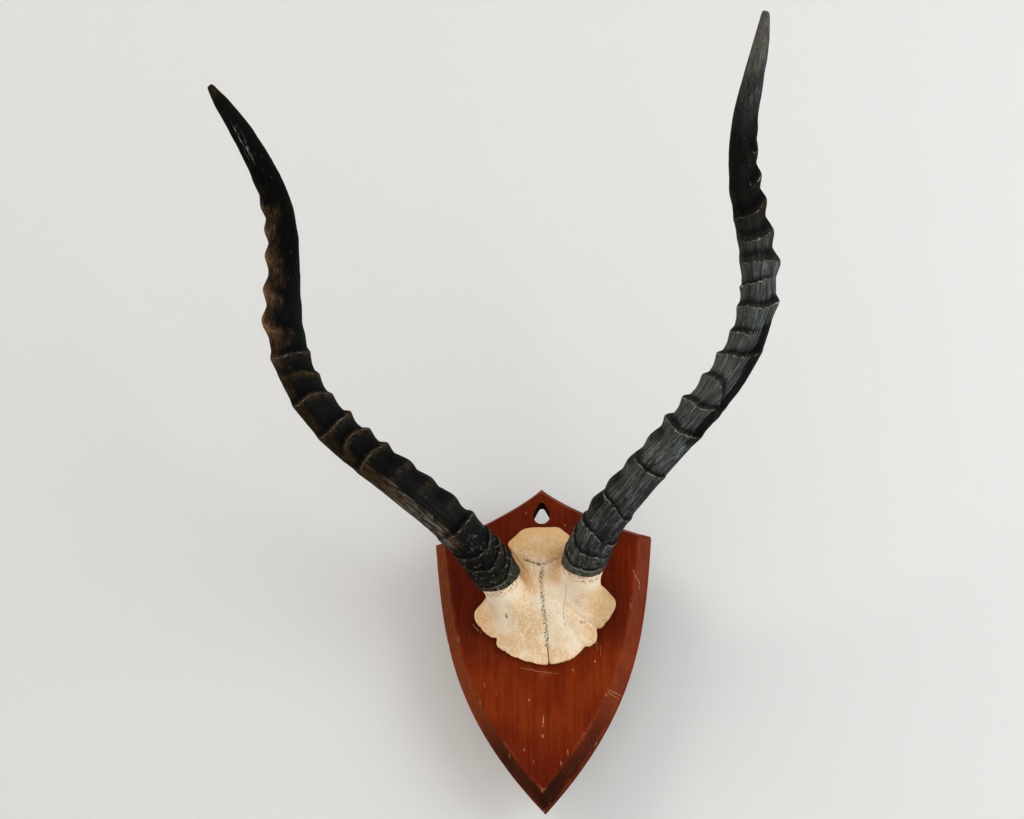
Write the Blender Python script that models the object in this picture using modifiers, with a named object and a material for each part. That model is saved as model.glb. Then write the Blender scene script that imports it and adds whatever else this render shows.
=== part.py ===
"""An impala trophy: two ringed horns on a sawn skull plate, screwed to a bevelled wooden shield.

Metres, +Z up, +X to the right as seen from the front. The shield's flat back lies in the plane
y = 0 and its front faces -Y, so depths in front of the wall are negative. The origin is on the
back of the shield, on its centre line. Left and right are as seen from the front.
"""

import math

import bmesh
import bpy
import numpy as np
from mathutils import Vector

MM = 0.001

# Shield, in mm. Each curve is a cubic Bezier of (x, z) for the right half; the left mirrors it.
SHIELD_THICKNESS = 20.0
SHIELD_EDGE = 13.0                 # height of the square edge, below the bevel
SHIELD_TOP_CURVE = ((0.0, 148.0), (17.0, 132.0), (74.0, 105.0), (97.0, 99.5))
SHIELD_SIDE_CURVE = ((97.0, 99.5), (89.0, 18.0), (83.0, -51.0), (0.0, -137.0))
SHIELD_TOP_STEPS = 7
SHIELD_SIDE_STEPS = 16
BEVEL_TOP = 3.5                    # width of the bevel along the two upper edges
BEVEL_SHOULDER = 10.0              # and along the sides, at the shoulders
BEVEL_TIP = 12.5                   # and at the tip

# Hanging hole: a pear shape round two circles, right through the shield.
HOLE_LOW_Z, HOLE_LOW_RADIUS = 120.8, 7.8
HOLE_TOP_Z, HOLE_TOP_RADIUS = 130.2, 2.8
HOLE_STEPS = 7                     # straight pieces in each of the four arcs

# Skull plate: its sawn outline as (x, z), clockwise from the top.
SKULL_OUTLINE = (
    (5, 108), (18, 106), (27, 99), (33, 88), (39, 77), (46, 69), (51, 60), (51, 52), (58, 46),
    (65, 40), (66, 34), (60, 24), (54, 17), (49, 13), (49, 8), (46, 3), (37, -1), (32, -6),
    (25, -10), (16, -13), (5, -14), (-9, -12), (-18, -8), (-25, -5), (-33, -1), (-38, 4),
    (-39, 9), (-46, 14), (-52, 20), (-57, 27), (-57, 34), (-51, 40), (-46, 47), (-46, 54),
    (-43, 64), (-37, 73), (-30, 81), (-28, 92), (-20, 101), (-9, 107),
)
SKULL_CENTRE = (4.5, 45.0)
SKULL_STEPS = 64                   # points round the outline
SKULL_RINGS = (0.95, 0.88, 0.78, 0.64, 0.46, 0.24)
SKULL_PROFILE_Z = (-14.0, 0.0, 20.0, 40.0, 55.0, 70.0, 82.0, 92.0, 100.0, 108.0)
SKULL_PROFILE_HEIGHT = (7.0, 12.0, 20.0, 27.0, 31.0, 32.0, 31.0, 28.0, 23.0, 16.0)
SKULL_FLATNESS = 3.2               # power of the fall from the middle to the edge
SKULL_EDGE = 4.0                   # thickness of the bone at its sawn edge
SKULL_WING_LIFT = 7.0              # gap under the wings over the eye sockets
SKULL_NOSE_LIFT = 1.5              # and under the lower edge
SKULL_CONTACT = 0.68               # share of the outline that lies on the wood
GAP = 0.3                          # between neighbouring pieces

# Horns. The rim is where the horn starts on its bony pedicle. Each path is the middle line,
# in (x, y, z), read from the outline in the picture and a depth that leans away from the wall.
RIM_SPREAD = math.radians(20.0)    # the rim faces up, out by this
RIM_LEAN = math.radians(45.0)      # and away from the wall by this
RIM_TURN = 32.0                    # length over which the sections turn square to the horn
PEDICLE_LENGTH = 27.0
PEDICLE_TOP_RADIUS = 18.0
PEDICLE_FOOT_RADIUS = 23.0
HORN_SIDES = 22
HORN_GIRTH_AT = (0, 12, 30, 60, 100, 150, 200, 280, 320, 360, 400, 430, 460, 485, 498, 505)
HORN_RADIUS = (19.0, 19.0, 18.0, 16.4, 14.9, 14.1, 13.6, 13.1, 12.4, 11.6, 10.5, 9.2, 7.7, 5.8,
               3.4, 1.2)
RIDGE_FOOT = 4.2                   # length of a ridge on each side of its crest
RIDGE_TURN_AT = (0.0, 225.0, 305.0)
RIDGE_TURN = (-50.0, -50.0, 75.0)  # where round the horn the ridges stand highest, in degrees
RIDGE_BACK = 0.18                  # share of the height that is left on the far side
TIP_STEP = 11.0                    # spacing of the sections past the last ridge
LEFT_STOUTNESS = 1.04              # the left horn is a little thicker than the right

# (distance from the rim, height of the crest)
RIDGES_RIGHT = (
    (5, 0.9), (13, 1.2), (28, 1.7), (59, 1.9), (79, 2.3), (106, 2.1), (133, 1.8), (158, 2.4),
    (182, 2.2), (204, 2.6), (231, 2.3), (250, 1.8), (279, 2.8), (295, 1.2), (312, 3.4),
    (332, 3.2), (356, 2.8), (378, 1.8), (400, 1.1),
)
RIDGES_LEFT = (
    (4, 0.9), (12, 1.3), (29, 1.7), (56, 2.3), (80, 2.2), (106, 1.8), (130, 1.8), (156, 2.2),
    (176, 2.0), (198, 2.4), (223, 2.2), (242, 1.8), (270, 2.4), (295, 2.9), (321, 3.0),
    (348, 2.7), (371, 2.3), (391, 1.2),
)
PATH_RIGHT = (
    (41.4, -58.0, 65.3), (53.5, -78.8, 83.0), (78.0, -106.7, 106.6), (121.0, -144.7, 139.4),
    (161.0, -175.9, 171.2), (186.5, -197.9, 200.2), (199.0, -219.0, 236.3),
    (197.8, -244.3, 285.2), (192.6, -264.5, 323.5), (197.5, -287.5, 361.5), (217.2, -330.4, 417.0),
)
PATH_LEFT = (
    (-31.6, -58.0, 56.3), (-44.7, -78.8, 73.4), (-70.0, -106.8, 97.2), (-112.7, -144.4, 129.2),
    (-152.8, -175.7, 160.9), (-175.2, -197.6, 193.0), (-185.0, -218.6, 230.5),
    (-180.8, -243.8, 278.5), (-180.8, -264.5, 317.0), (-193.0, -287.5, 352.5),
    (-223.0, -326.3, 396.4),
)

# Two wood screws, driven from the back into the thick bone between the horns.
SCREW_SPACING = 34.0
SCREW_Z = 50.0
SCREW_HEAD_RADIUS, SCREW_SHANK_RADIUS = 4.2, 2.0
SCREW_SUNK = 0.4                   # the head's depth below the back of the shield
SCREW_HEAD_HEIGHT, SCREW_RIM = 2.7, 0.4
SCREW_LENGTH, SCREW_POINT = 33.0, 4.0
SCREW_CLEARANCE = 0.45
SCREW_STEPS = 20
SLOT_WIDTH, SLOT_DEPTH = 1.1, 1.1
PILOT_DEPTH = 36.0                 # reach of the hole in the bone, from the back of the shield

WOOD = ("stained wood", (0.16, 0.032, 0.012), 0.45, 0.0)
BONE = ("sawn bone", (0.70, 0.55, 0.36), 0.7, 0.0)
HORN = ("horn", (0.035, 0.038, 0.036), 0.45, 0.0)
STEEL = ("zinc-plated steel", (0.62, 0.62, 0.60), 0.35, 1.0)


def clear_scene():
    for item in list(bpy.data.objects):
        bpy.data.objects.remove(item, do_unlink=True)


def new_collection(name):
    collection = bpy.data.collections.new(name)
    bpy.context.scene.collection.children.link(collection)
    return collection


def new_material(finish):
    name, color, roughness, metallic = finish
    material = bpy.data.materials.new(name)
    material.use_nodes = True
    shader = material.node_tree.nodes["Principled BSDF"]
    shader.inputs["Base Color"].default_value = (*color, 1.0)
    shader.inputs["Roughness"].default_value = roughness
    shader.inputs["Metallic"].default_value = metallic
    return material


def add_object(name, mesh, collection, finish=None):
    item = bpy.data.objects.new(name, mesh)
    collection.objects.link(item)
    if finish:
        mesh.materials.append(new_material(finish))
        mesh.shade_smooth()
        mesh.set_sharp_from_angle(angle=math.radians(35.0))
    return item


def hide_cutter(item):
    item.hide_render = True
    item.display_type = "WIRE"


def add_boolean(item, other, operation):
    modifier = item.modifiers.new(other.name, "BOOLEAN")
    modifier.operation = operation
    modifier.solver = "EXACT"
    modifier.object = other


def lofted_mesh(name, loops):
    """A closed mesh: equal loops of points joined in order, with a flat face on each end.

    A loop of one point closes that end in a fan.
    """
    shape = bmesh.new()
    rows = [[shape.verts.new(Vector(point) * MM) for point in loop] for loop in loops]
    for low, high in zip(rows[:-1], rows[1:]):
        count = max(len(low), len(high))
        for i in range(count):
            corners = [low[i % len(low)], low[(i + 1) % len(low)],
                       high[(i + 1) % len(high)], high[i % len(high)]]
            shape.faces.new(list(dict.fromkeys(corners)))
    for end in (rows[0], rows[-1]):
        if len(end) > 1:
            shape.faces.new(end)
    bmesh.ops.recalc_face_normals(shape, faces=shape.faces)
    mesh = bpy.data.meshes.new(name)
    shape.to_mesh(mesh)
    shape.free()
    return mesh


def turned_object(name, profile, collection, finish=None):
    """A profile of (radius, height) pairs in mm, from its top down, turned about an axis.

    The object lies with its top towards the wall, +Y.
    """
    mesh = bpy.data.meshes.new(name)
    points = [(radius * MM, 0.0, height * MM) for radius, height in profile]
    mesh.from_pydata(points, [(i, i + 1) for i in range(len(points) - 1)], [])
    item = add_object(name, mesh, collection, finish)
    item.rotation_euler = (math.radians(-90.0), 0.0, 0.0)
    turn = item.modifiers.new("turn", "SCREW")
    turn.steps = turn.render_steps = SCREW_STEPS
    turn.use_merge_vertices = True
    turn.merge_threshold = 0.00001
    turn.use_smooth_shade = False
    return item


def bezier(corners, steps):
    """Points along a cubic Bezier curve, without its last one."""
    t = np.arange(steps)[:, None] / steps
    a, b, c, d = (np.array(corner) for corner in corners)
    return (1 - t) ** 3 * a + 3 * (1 - t) ** 2 * t * b + 3 * (1 - t) * t ** 2 * c + t ** 3 * d


def natural_spline(points, closed=False):
    """A function from 0..1 to a smooth curve through the points, by length of chord."""
    knots = np.array(points, dtype=float)
    if closed:
        reach = 4                  # the loop is overlapped so that it joins smoothly
        knots = np.vstack([knots[-reach:], knots, knots[:reach + 1]])
    chord = np.linalg.norm(np.diff(knots, axis=0), axis=1)
    at = np.concatenate([[0.0], np.cumsum(chord)])
    size = len(knots)
    system = np.eye(size)
    slope = np.diff(knots, axis=0) / chord[:, None]
    right = np.zeros_like(knots)
    for i in range(1, size - 1):
        system[i, i - 1:i + 2] = chord[i - 1], 2 * (chord[i - 1] + chord[i]), chord[i]
        right[i] = 6 * (slope[i] - slope[i - 1])
    bend = np.linalg.solve(system, right)
    first, last = (at[reach], at[-1 - reach]) if closed else (at[0], at[-1])

    def curve(share):
        where = first + np.asarray(share) * (last - first)
        i = np.clip(np.searchsorted(at, where, side="right") - 1, 0, size - 2)
        h = chord[i][:, None]
        u = ((where - at[i]) / chord[i])[:, None]
        v = 1 - u
        return (v * knots[i] + u * knots[i + 1]
                + h ** 2 / 6 * ((v ** 3 - v) * bend[i] + (u ** 3 - u) * bend[i + 1]))

    return curve


def direction(side, spread, lean):
    """The unit vector that points up, out to one side by `spread` and off the wall by `lean`."""
    return np.array([side * math.sin(spread) * math.cos(lean), -math.sin(lean),
                     math.cos(spread) * math.cos(lean)])


def inset_point(before, point, after, width_before, width_after):
    """The point as far in from the edges on its two sides as their widths say."""
    rows = []
    for start, end in ((before, point), (point, after)):
        along = (end - start) / np.linalg.norm(end - start)
        rows.append((along[1], -along[0]))
    offsets = np.array([width_before, width_after])
    return point + np.linalg.solve(np.array(rows), offsets)


def shield_outline():
    """The shield's outline, clockwise from its top, and the bevel's width before and after."""
    top = bezier(SHIELD_TOP_CURVE, SHIELD_TOP_STEPS)
    side = bezier(SHIELD_SIDE_CURVE, SHIELD_SIDE_STEPS)
    tip = np.array([SHIELD_SIDE_CURVE[-1]])
    half = np.vstack([top, side, tip])
    widening = np.linspace(BEVEL_SHOULDER, BEVEL_TIP, SHIELD_SIDE_STEPS + 1)
    after = np.concatenate([np.full(SHIELD_TOP_STEPS, BEVEL_TOP), widening])
    before = after.copy()
    before[SHIELD_TOP_STEPS] = BEVEL_TOP
    other = half[-2:0:-1] * (-1, 1)
    outline = np.vstack([half, other])
    return outline, np.concatenate([before, after[-2:0:-1]]), np.concatenate([after, before[-2:0:-1]])


def hole_outline():
    """The hanging hole's outline: two circles and their common tangents."""
    lean = math.asin((HOLE_LOW_RADIUS - HOLE_TOP_RADIUS) / (HOLE_TOP_Z - HOLE_LOW_Z))
    upper = np.linspace(lean, math.pi - lean, 2 * HOLE_STEPS)
    lower = np.linspace(math.pi - lean, 2 * math.pi + lean, 2 * HOLE_STEPS)
    arcs = []
    for angles, radius, height in ((upper, HOLE_TOP_RADIUS, HOLE_TOP_Z),
                                   (lower, HOLE_LOW_RADIUS, HOLE_LOW_Z)):
        arcs.append(np.stack([radius * np.cos(angles), height + radius * np.sin(angles)], axis=1))
    return np.vstack(arcs)


def at_depth(outline, depth):
    """Points (x, z) placed at a distance in front of the wall."""
    return [(x, -depth, z) for x, z in outline]


def screw_profile(radius_extra=0.0, sunk=SCREW_SUNK, reach=None):
    """The screw from its head to its point, or with `reach` a straight-ended hole for it."""
    head = SCREW_HEAD_RADIUS + radius_extra
    shank = SCREW_SHANK_RADIUS + radius_extra
    neck = -SCREW_SUNK - SCREW_HEAD_HEIGHT - radius_extra
    profile = [(0.0, -sunk), (head, -sunk), (head, -SCREW_SUNK - SCREW_RIM), (shank, neck)]
    if reach:
        return profile + [(shank, -reach), (0.0, -reach)]
    return profile + [(shank, -SCREW_LENGTH + SCREW_POINT), (0.0, -SCREW_LENGTH)]


def screw_places():
    middle = SKULL_CENTRE[0]
    return (("screw_left", middle - SCREW_SPACING / 2), ("screw_right", middle + SCREW_SPACING / 2))


def screw_hole(name, x, reach, cutters):
    """A cutter for the countersunk hole of a screw at `x`, `reach` deep from the back."""
    profile = screw_profile(SCREW_CLEARANCE, -1.0, reach)
    cutter = turned_object(name + "_hole", profile, cutters)
    cutter.location = (x * MM, 0.0, SCREW_Z * MM)
    hide_cutter(cutter)
    return cutter


def build_shield(parts, cutters):
    outline, before, after = shield_outline()
    face = []
    for i, point in enumerate(outline):
        neighbours = outline[i - 1], outline[(i + 1) % len(outline)]
        face.append(inset_point(neighbours[0], point, neighbours[1], before[i], after[i]))
    loops = [at_depth(outline, 0.0), at_depth(outline, SHIELD_EDGE),
             at_depth(face, SHIELD_THICKNESS)]
    shield = add_object("shield", lofted_mesh("shield", loops), parts, WOOD)
    through = [at_depth(hole_outline(), depth) for depth in (-2.0, SHIELD_THICKNESS + 2.0)]
    hole = add_object("hanging_hole", lofted_mesh("hanging_hole", through), cutters)
    hide_cutter(hole)
    add_boolean(shield, hole, "DIFFERENCE")
    for name, x in screw_places():
        cutter = screw_hole(name + "_shield", x, SHIELD_THICKNESS + 2.0, cutters)
        add_boolean(shield, cutter, "DIFFERENCE")


def skull_lift(outline):
    """The gap between the wood and the bone's edge: wide under the wings, little elsewhere."""
    wing = np.exp(-((outline[:, 1] - 30.0) / 16.0) ** 2)
    nose = np.exp(-((outline[:, 1] + 14.0) / 14.0) ** 2)
    return GAP + SKULL_WING_LIFT * wing + SKULL_NOSE_LIFT * nose


def build_skull_plate(parts, cutters):
    share = np.arange(SKULL_STEPS) / SKULL_STEPS
    outline = natural_spline(SKULL_OUTLINE, closed=True)(share)
    centre = np.array(SKULL_CENTRE)
    lift = skull_lift(outline)
    back_edge = np.exp(-((outline[:, 1] - 108.0) / 22.0) ** 2)
    edge = lift + SKULL_EDGE + 5.0 * back_edge
    contact = centre + SKULL_CONTACT * (outline - centre)
    loops = [at_depth(contact, SHIELD_THICKNESS + GAP),
             [(x, -SHIELD_THICKNESS - low, z) for (x, z), low in zip(outline, lift)],
             [(x, -SHIELD_THICKNESS - top, z) for (x, z), top in zip(outline, edge)]]
    for ring in SKULL_RINGS:
        points = centre + ring * (outline - centre)
        crown = np.interp(points[:, 1], SKULL_PROFILE_Z, SKULL_PROFILE_HEIGHT)
        height = edge + (crown - edge) * (1 - ring ** SKULL_FLATNESS)
        loops.append([(x, -SHIELD_THICKNESS - top, z) for (x, z), top in zip(points, height)])
    crown = np.interp(centre[1], SKULL_PROFILE_Z, SKULL_PROFILE_HEIGHT)
    loops.append([(centre[0], -SHIELD_THICKNESS - crown, centre[1])])
    plate = add_object("skull_plate", lofted_mesh("skull_plate", loops), parts, BONE)
    for name, side, path in (("left", -1, PATH_LEFT), ("right", 1, PATH_RIGHT)):
        add_boolean(plate, build_pedicle("pedicle_" + name, side, path[0], cutters), "UNION")
    for name, x in screw_places():
        add_boolean(plate, screw_hole(name + "_bone", x, PILOT_DEPTH, cutters), "DIFFERENCE")


def build_pedicle(name, side, rim, cutters):
    """The stub of bone under a horn, which ends just below the horn's rim."""
    axis = Vector(direction(side, RIM_SPREAD, RIM_LEAN))
    shape = bmesh.new()
    bmesh.ops.create_cone(shape, cap_ends=True, segments=HORN_SIDES,
                          radius1=PEDICLE_FOOT_RADIUS * MM, radius2=PEDICLE_TOP_RADIUS * MM,
                          depth=PEDICLE_LENGTH * MM)
    mesh = bpy.data.meshes.new(name)
    shape.to_mesh(mesh)
    shape.free()
    stub = add_object(name, mesh, cutters)
    stub.rotation_euler = axis.to_track_quat("Z", "Y").to_euler()
    stub.location = (Vector(rim) - axis * (PEDICLE_LENGTH / 2 + GAP)) * MM
    hide_cutter(stub)
    return stub


def horn_stations(length, ridges):
    """Distances from the rim at which the horn has a section: each ridge's crest and feet."""
    crests = [at for at, height in ridges]
    stations = [0.0]
    for low, high in zip([0.0] + crests[:-1], crests):
        if high - low < 2 * RIDGE_FOOT:
            stations.append((low + high) / 2)
        else:
            if low > 0.0:
                stations.append(low + RIDGE_FOOT)
            stations.append(high - RIDGE_FOOT)
        stations.append(float(high))
    smooth_from = crests[-1] + RIDGE_FOOT
    count = round((length - smooth_from) / TIP_STEP)
    stations.extend(smooth_from + (length - smooth_from) * np.sin(
        np.linspace(0.0, math.pi / 2, count + 1)))
    return np.unique(np.round(stations, 4))


def ridge_height(stations, angles, ridges):
    """How far the ridges stand out, on a grid of distance along and angle round the horn.

    Each is a wedge along the horn. Round it, it fades from its high side to its low side.
    """
    turn = np.radians(np.interp(stations, RIDGE_TURN_AT, RIDGE_TURN))
    facing = (1 + np.cos(angles[None, :] - turn[:, None])) / 2
    share = RIDGE_BACK + (1 - RIDGE_BACK) * facing ** 1.5
    total = np.zeros_like(share)
    for at, height in ridges:
        wedge = np.clip(1 - np.abs(stations - at) / RIDGE_FOOT, 0.0, 1.0)
        total = np.maximum(total, height * wedge[:, None] * share)
    return total


def horn_loops(side, path, ridges, stoutness):
    """Sections of the horn: circles square to its middle line, swollen by the ridges."""
    fine = natural_spline(path)(np.linspace(0.0, 1.0, 600))
    run = np.concatenate([[0.0], np.cumsum(np.linalg.norm(np.diff(fine, axis=0), axis=1))])
    heading = np.gradient(fine, run, axis=0)
    stations = horn_stations(run[-1], ridges)
    middle = np.stack([np.interp(stations, run, fine[:, k]) for k in range(3)], axis=1)
    normal = np.stack([np.interp(stations, run, heading[:, k]) for k in range(3)], axis=1)
    turned = np.clip(stations / RIM_TURN, 0.0, 1.0)
    turned = (turned * turned * (3 - 2 * turned))[:, None]
    normal = turned * normal + (1 - turned) * direction(side, RIM_SPREAD, RIM_LEAN)
    normal /= np.linalg.norm(normal, axis=1)[:, None]
    front = np.array([0.0, -1.0, 0.0]) - normal * -normal[:, 1:2]
    front /= np.linalg.norm(front, axis=1)[:, None]
    outward = side * np.cross(normal, front)
    angles = np.arange(HORN_SIDES) * 2 * math.pi / HORN_SIDES
    radius = stoutness * np.interp(stations, np.array(HORN_GIRTH_AT) * run[-1] / HORN_GIRTH_AT[-1],
                                   HORN_RADIUS)
    radius = radius[:, None] + ridge_height(stations, angles, ridges)
    around = (np.cos(angles)[None, :, None] * front[:, None, :]
              + np.sin(angles)[None, :, None] * outward[:, None, :])
    return middle[:, None, :] + radius[:, :, None] * around


def build_horn(name, side, path, ridges, stoutness, parts):
    loops = horn_loops(side, path, ridges, stoutness)
    add_object(name, lofted_mesh(name, loops), parts, HORN)


def build_screws(parts, cutters):
    for name, x in screw_places():
        screw = turned_object(name, screw_profile(), parts, STEEL)
        screw.location = (x * MM, 0.0, SCREW_Z * MM)
        shape = bmesh.new()
        bmesh.ops.create_cube(shape, size=1.0)
        bmesh.ops.scale(shape, verts=shape.verts,
                        vec=Vector((3 * SCREW_HEAD_RADIUS, 2 * SLOT_DEPTH, SLOT_WIDTH)) * MM)
        mesh = bpy.data.meshes.new(name + "_slot")
        shape.to_mesh(mesh)
        shape.free()
        slot = add_object(name + "_slot", mesh, cutters)
        slot.location = (x * MM, -SCREW_SUNK * MM, SCREW_Z * MM)
        hide_cutter(slot)
        add_boolean(screw, slot, "DIFFERENCE")


def main():
    clear_scene()
    parts = new_collection("impala_trophy")
    cutters = new_collection("cutters")
    build_shield(parts, cutters)
    build_skull_plate(parts, cutters)
    build_horn("horn_left", -1, PATH_LEFT, RIDGES_LEFT, LEFT_STOUTNESS, parts)
    build_horn("horn_right", 1, PATH_RIGHT, RIDGES_RIGHT, 1.0, parts)
    build_screws(parts, cutters)


main()
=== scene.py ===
"""The looks of a mounted impala trophy: ringed horns, sawn skull plate, bevelled shield, screws.

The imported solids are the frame. Each finished surface here takes the place of one of them, or
gives it a finish. Lengths in the code are millimetres unless a name says otherwise; +Z is up, the
wall is behind the shield at y = 0 and the trophy faces -Y. Left and right are seen from the front.
"""

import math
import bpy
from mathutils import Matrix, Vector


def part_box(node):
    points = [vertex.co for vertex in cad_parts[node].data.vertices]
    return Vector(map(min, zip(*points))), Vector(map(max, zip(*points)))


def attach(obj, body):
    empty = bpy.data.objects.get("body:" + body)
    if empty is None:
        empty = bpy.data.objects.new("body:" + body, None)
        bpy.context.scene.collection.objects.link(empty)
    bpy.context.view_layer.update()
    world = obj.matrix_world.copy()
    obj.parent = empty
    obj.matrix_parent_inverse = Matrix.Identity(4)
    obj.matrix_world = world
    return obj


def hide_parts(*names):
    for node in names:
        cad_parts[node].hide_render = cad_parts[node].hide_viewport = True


bl_info = {
    "name": "Impala Horn Trophy",
    "version": (1, 0, 0),
    "blender": (4, 5, 0),
    "location": "3D View > Sidebar > Trophy",
    "description": "Builds the horns, skull plate, shield and stage of a mounted impala trophy",
    "category": "Add Mesh",
}

from functools import reduce
from types import SimpleNamespace

import bpy
import numpy as np
from bpy.props import FloatProperty, FloatVectorProperty, PointerProperty

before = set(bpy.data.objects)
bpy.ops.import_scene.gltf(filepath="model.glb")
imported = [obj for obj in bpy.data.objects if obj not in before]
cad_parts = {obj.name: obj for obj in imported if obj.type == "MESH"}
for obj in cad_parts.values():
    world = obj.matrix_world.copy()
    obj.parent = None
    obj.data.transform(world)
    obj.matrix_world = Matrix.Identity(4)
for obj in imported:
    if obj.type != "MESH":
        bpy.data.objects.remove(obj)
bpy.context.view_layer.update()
MM = 0.001

# Horns: how far the rim of each leans outward and forward, along how much of it the rings turn
# from the rim's plane to lie square to the horn, and the middle line of each as (x, y, z).
RIM_SPREAD, RIM_LEAN = math.radians(20.0), math.radians(45.0)
RIM_TURN = 32.0
PATH_RIGHT = (
    (41.4, -58.0, 65.3), (53.5, -78.8, 83.0), (78.0, -106.7, 106.6), (121.0, -144.7, 139.4),
    (161.0, -175.9, 171.2), (186.5, -197.9, 200.2), (199.0, -219.0, 236.3),
    (197.8, -244.3, 285.2), (192.6, -264.5, 323.5), (197.5, -287.5, 361.5), (216.7, -329.5, 415.7),
)
PATH_LEFT = (
    (-31.6, -58.0, 56.3), (-44.7, -78.8, 73.4), (-70.0, -106.8, 97.2), (-112.7, -144.4, 129.2),
    (-152.8, -175.7, 160.9), (-175.2, -197.6, 193.0), (-185.0, -218.6, 230.5),
    (-180.8, -243.8, 278.5), (-180.8, -264.5, 317.0), (-193.0, -287.5, 352.5),
    (-222.6, -325.8, 395.9),
)
# The horn between its rings: (distance along it, radius, how far it lies outward of its path).
BODY_RIGHT = (
    (0, 19.0, 0.0), (12, 19.0, 0.0), (30, 18.0, 0.3), (50, 16.7, 0.9), (70, 15.7, 1.5),
    (96, 15.4, 1.6), (122, 14.9, 1.3), (147, 14.4, 1.4), (168, 14.4, 1.5), (190, 14.1, 1.2),
    (212, 14.2, 1.2), (235, 13.9, 0.6), (256, 13.6, 0.6), (290, 13.4, 0.3), (322, 12.7, -1.0),
    (347, 12.1, -1.9), (370, 11.3, -1.4), (392, 10.5, -0.5), (410, 10.2, 0.1), (430, 9.4, 0.4),
    (450, 8.4, 1.2), (470, 7.2, 1.3), (485, 5.8, 0.6), (496, 4.3, -0.5), (503, 3.2, -1.4),
    (505, 1.9, -1.8),
)
BODY_LEFT = (
    (0, 19.8, 0.0), (12, 19.8, 0.0), (30, 18.7, 0.0), (50, 17.6, 0.1), (70, 16.7, 0.2),
    (96, 16.6, 0.6), (118, 16.1, 1.0), (145, 15.8, 0.9), (163, 15.7, 0.5), (184, 15.6, 0.5),
    (207, 15.1, 0.3), (228, 15.0, 0.5), (248, 14.6, 0.1), (270, 14.6, -1.0), (285, 14.7, -1.8),
    (308, 14.1, -2.2), (332, 13.1, -2.2), (358, 12.0, -1.5), (379, 11.4, -1.2), (398, 11.2, -0.5),
    (420, 10.6, 0.6), (440, 9.9, 0.9), (460, 8.7, 0.7), (478, 6.9, 0.3), (489, 5.9, 0.2),
    (497, 4.2, 0.0), (503, 3.0, -0.4), (505, 1.8, -0.5),
)
SHEATH_RADIUS = 15.0               # of the unbent horn that the fibres are laid out on
HORN_COLUMNS = 156
RINGED_ROWS, SMOOTH_ROWS, SMOOTH_FROM = 575, 58, 415.0

# A ring is where its crest runs and how high it stands, each on the inner side, the face and the
# outer side of the horn, and the form of its cross-section.
RINGS_RIGHT = (
    ((13, 7, 6), (1.3, 1.3, 0.8), "layer"), ((22, 13, 11), (0.8, 0.7, 0.9), "layer"),
    ((34, 21.5, 20), (1.4, 1.7, 1.1), "layer"), ((45, 41, 37), (1.5, 1.9, 1.3), "layer"),
    ((59, 58, 60), (3.0, 0.6, 0.0), "cushion"), ((71, 75, 65), (0.4, 2.1, 1.2), "layer"),
    ((81, 82, 84), (3.1, 0.4, 0.0), "cushion"), ((107, 108, 110), (2.7, 0.4, 0.0), "cushion"),
    ((114, 117.5, 116), (0.1, 1.7, 1.0), "layer"), ((135, 135, 137), (2.5, 0.5, 0.0), "cushion"),
    ((158, 160, 164), (3.8, 2.2, 1.0), "lip"), ((180, 185, 195), (3.5, 2.1, 0.5), "lip"),
    ((204, 212, 186), (3.4, 2.7, 1.0), "lip"), ((227, 235, 246), (2.8, 2.1, 0.6), "lip"),
    ((250, 255, 262), (2.1, 1.1, 0.0), "lip"), ((272, 277, 281), (1.7, 2.3, 3.3), "lip"),
    ((291, 295.5, 300), (1.5, 1.3, 0.2), "layer"), ((311, 312, 309.5), (1.0, 1.6, 4.9), "knob"),
    ((331, 328, 333), (0.7, 1.5, 4.3), "knob"), ((347, 348, 356.5), (0.9, 1.3, 3.8), "knob"),
    ((367, 366, 377), (0.9, 0.4, 3.0), "knob"), ((397, 396, 397), (0.2, 0.2, 1.9), "knob"),
    ((414, 412, 414), (0.0, 0.0, 0.9), "knob"),
)
RINGS_LEFT = (
    ((15, 5, 4), (1.3, 1.3, 0.7), "layer"), ((24, 12, 18), (0.9, 0.8, 0.5), "layer"),
    ((32, 20, 34), (1.5, 1.6, 1.1), "layer"), ((42, 36, 44), (1.2, 1.9, 1.2), "layer"),
    ((59.5, 63.5, 64), (3.0, 2.0, 0.9), "lip"), ((81, 85, 88), (2.9, 0.5, 0.0), "cushion"),
    ((106, 110, 112), (2.6, 0.5, 0.0), "cushion"), ((130, 134, 137), (2.5, 0.8, 0.0), "cushion"),
    ((153, 162, 157), (3.7, 2.1, 0.8), "lip"), ((173.5, 183, 172), (3.5, 1.5, 0.3), "lip"),
    ((195.5, 199, 197), (3.5, 2.4, 0.8), "lip"), ((219, 229.5, 229.5), (2.4, 2.3, 1.0), "lip"),
    ((240.5, 251, 255), (2.2, 0.9, 0.2), "lip"), ((262.5, 268, 267), (1.9, 2.2, 2.4), "lip"),
    ((280, 286, 296.5), (0.7, 1.0, 4.9), "knob"), ((303, 314, 321), (0.6, 1.0, 4.7), "knob"),
    ((330, 340, 347), (0.5, 0.8, 3.8), "knob"), ((360, 364, 369), (0.6, 0.4, 3.0), "knob"),
    ((382, 386, 390), (0.4, 0.3, 2.0), "knob"), ((410, 409, 410), (0.0, 0.0, 0.8), "knob"),
)
# Each form: length of the slope on the base side and on the tip side, roundness of the crest, how
# hollow those two slopes are, and how clear its pale crest line is.
RING_FORMS = {
    "layer": (9.0, 2.2, 0.35, 1.6, 1.1, 0.92), "lip": (12.0, 4.6, 1.2, 1.6, 1.2, 0.9),
    "cushion": (8.0, 14.0, 4.0, 1.2, 1.2, 0.1), "knob": (9.0, 8.0, 3.6, 1.4, 1.4, 0.86),
}
RING_BACK = 0.3                    # height of a ring on the side towards the wall
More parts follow.
